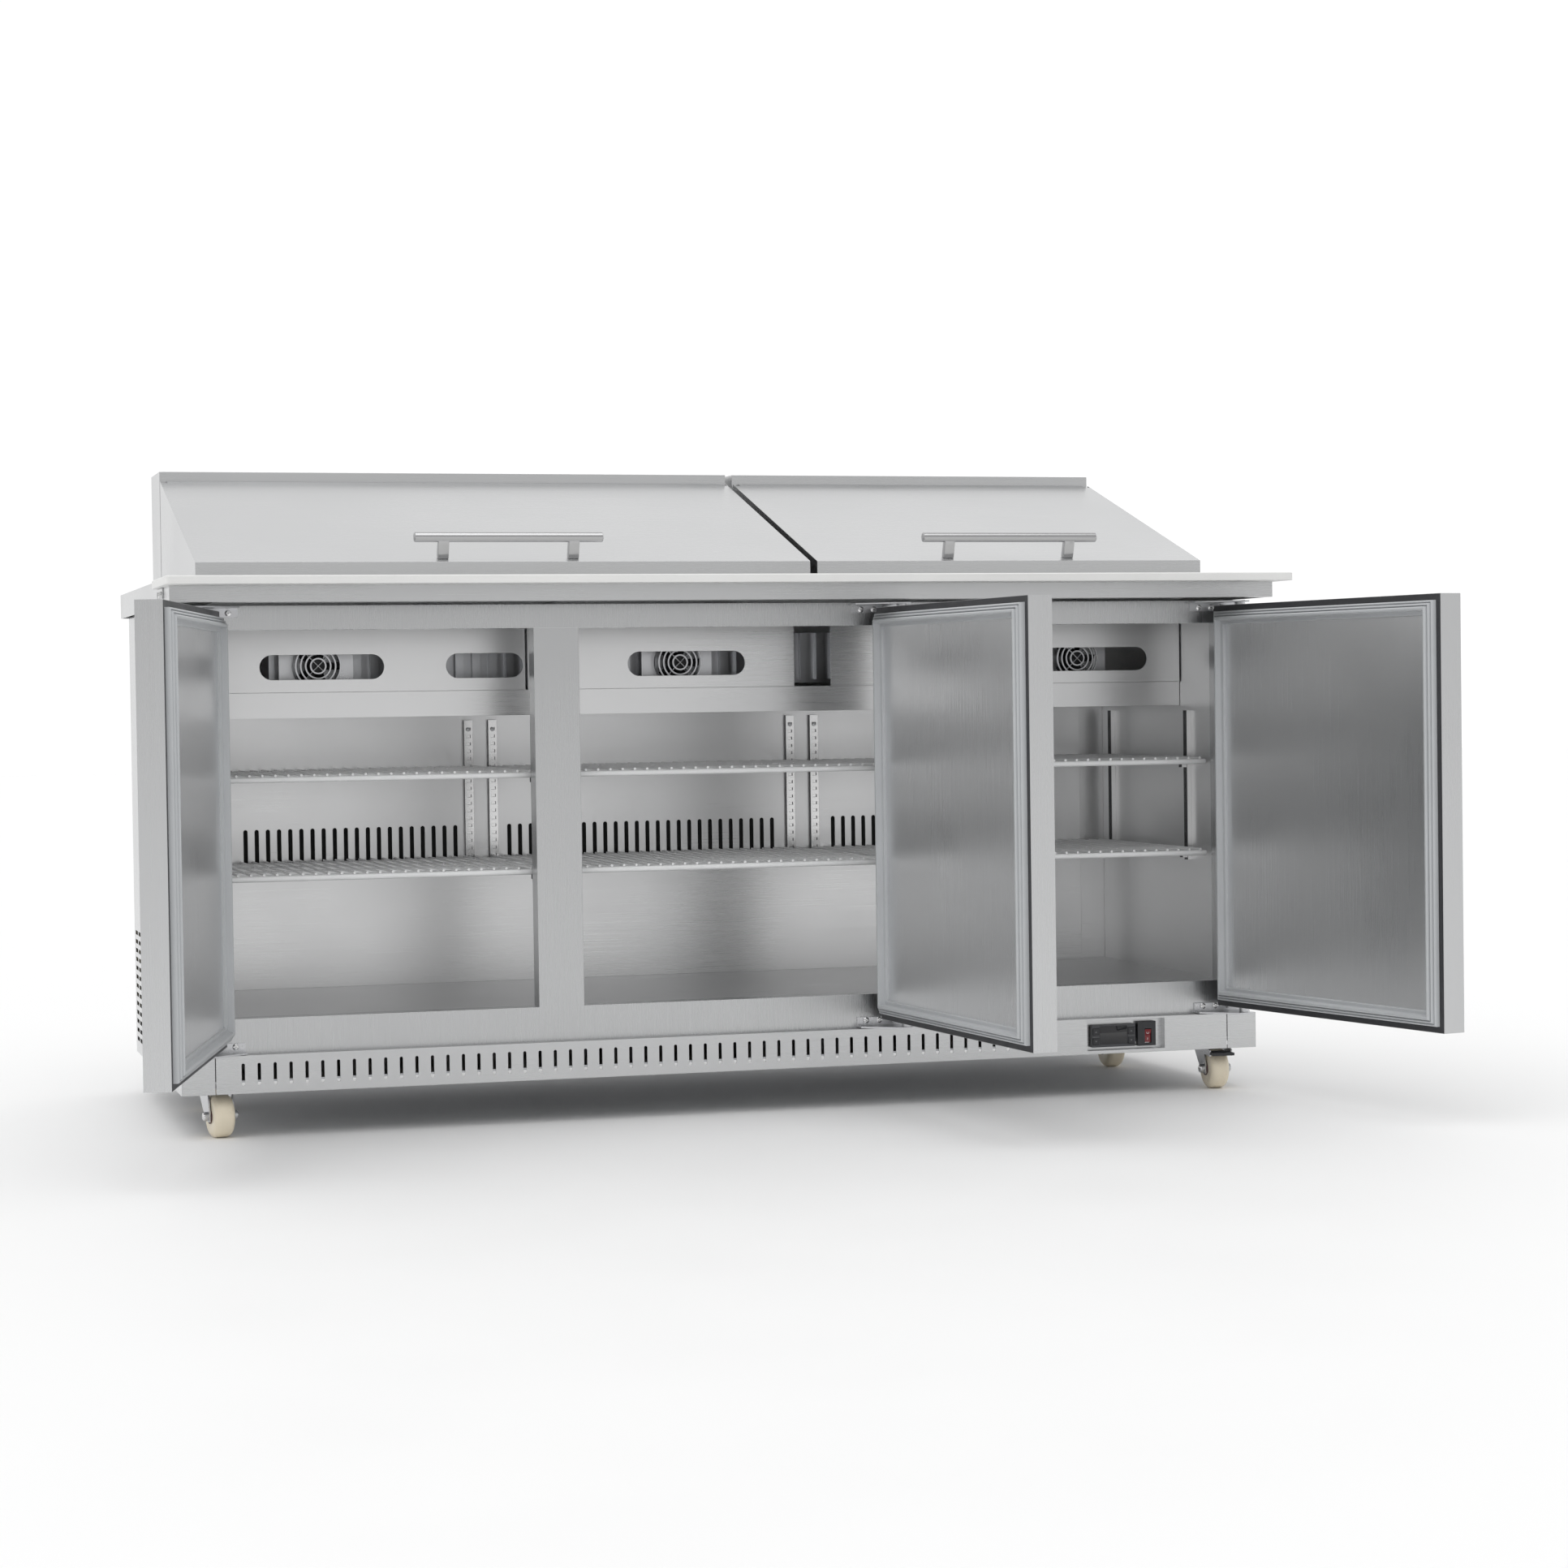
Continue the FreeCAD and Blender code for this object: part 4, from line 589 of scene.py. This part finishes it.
# ---------------------------------------------------------------- floor, light and camera
scene = bpy.context.scene
floor = bpy.data.objects.new("floor", bpy.data.meshes.new("floor"))
size = 30.0
floor.data.from_pydata([(-size, -size, 0), (size, -size, 0), (size, size, 0), (-size, size, 0)], [],
                       [(0, 1, 2, 3)])
scene.collection.objects.link(floor)
pale = Finish("floor_pale", (0.90, 0.90, 0.90), 0.0, 0.65)
pale.vary_roughness(pale.spread(pale.noise(3.0), 0.60, 0.70))
floor.data.materials.append(pale.material)

world = bpy.data.worlds.new("studio")
scene.world = world
world.use_nodes = True
tree = world.node_tree
background = tree.nodes["Background"]
place = tree.nodes.new("ShaderNodeTexCoord")
split = tree.nodes.new("ShaderNodeSeparateXYZ")
tree.links.new(place.outputs["Generated"], split.inputs["Vector"])


def world_range(value, start, end, low, high):
    node = tree.nodes.new("ShaderNodeMapRange")
    node.interpolation_type = "SMOOTHSTEP"
    for key, level in zip(("From Min", "From Max", "To Min", "To Max"), (start, end, low, high)):
        node.inputs[key].default_value = level
    tree.links.new(value, node.inputs["Value"])
    return node.outputs["Result"]


def world_mix(kind, a, b):
    node = tree.nodes.new("ShaderNodeMath")
    node.operation = kind
    tree.links.new(a, node.inputs[0])
    tree.links.new(b, node.inputs[1])
    return node.outputs["Value"]


# a white backdrop behind, a darker room in front, a little brighter to the right
depth = world_range(split.outputs["Y"], -0.5, 0.6, 0.60, 1.02)
across = world_range(split.outputs["X"], -1.0, 1.0, 0.86, 1.12)
height = world_range(split.outputs["Z"], 0.25, 1.0, 1.0, 0.80)
level = world_mix("MULTIPLY", world_mix("MULTIPLY", depth, height), across)
tree.links.new(level, background.inputs["Color"])
background.inputs["Strength"].default_value = 1.0

sun = bpy.data.lights.new("soft_sun", "SUN")
sun.energy = 1.5
sun.angle = math.radians(70)
sun_thing = bpy.data.objects.new("soft_sun", sun)
scene.collection.objects.link(sun_thing)
sun_thing.rotation_euler = Vector((0.25, 0.42, -1.0)).to_track_quat("-Z", "Y").to_euler()

LENS = 76.28
CAMERA_AT = Vector((-1.3984, -5.1481, 0.6522))
YAW, PITCH, ROLL = 0.285, -0.0247, -0.0141
forward = Vector((math.sin(YAW) * math.cos(PITCH), math.cos(YAW) * math.cos(PITCH), math.sin(PITCH)))
right = Vector((math.cos(YAW), -math.sin(YAW), 0))
up = right.cross(forward)
rolled_right = math.cos(ROLL) * right + math.sin(ROLL) * up
rolled_up = -math.sin(ROLL) * right + math.cos(ROLL) * up
camera = bpy.data.objects.new("camera", bpy.data.cameras.new("camera"))
camera.data.lens = LENS
camera.data.sensor_width = 36.0
camera.data.clip_end = 100.0
scene.collection.objects.link(camera)
camera.matrix_world = Matrix.Translation(CAMERA_AT) @ Matrix(
    (rolled_right, rolled_up, -forward)).transposed().to_4x4()
scene.camera = camera
scene.view_settings.view_transform = "Standard"
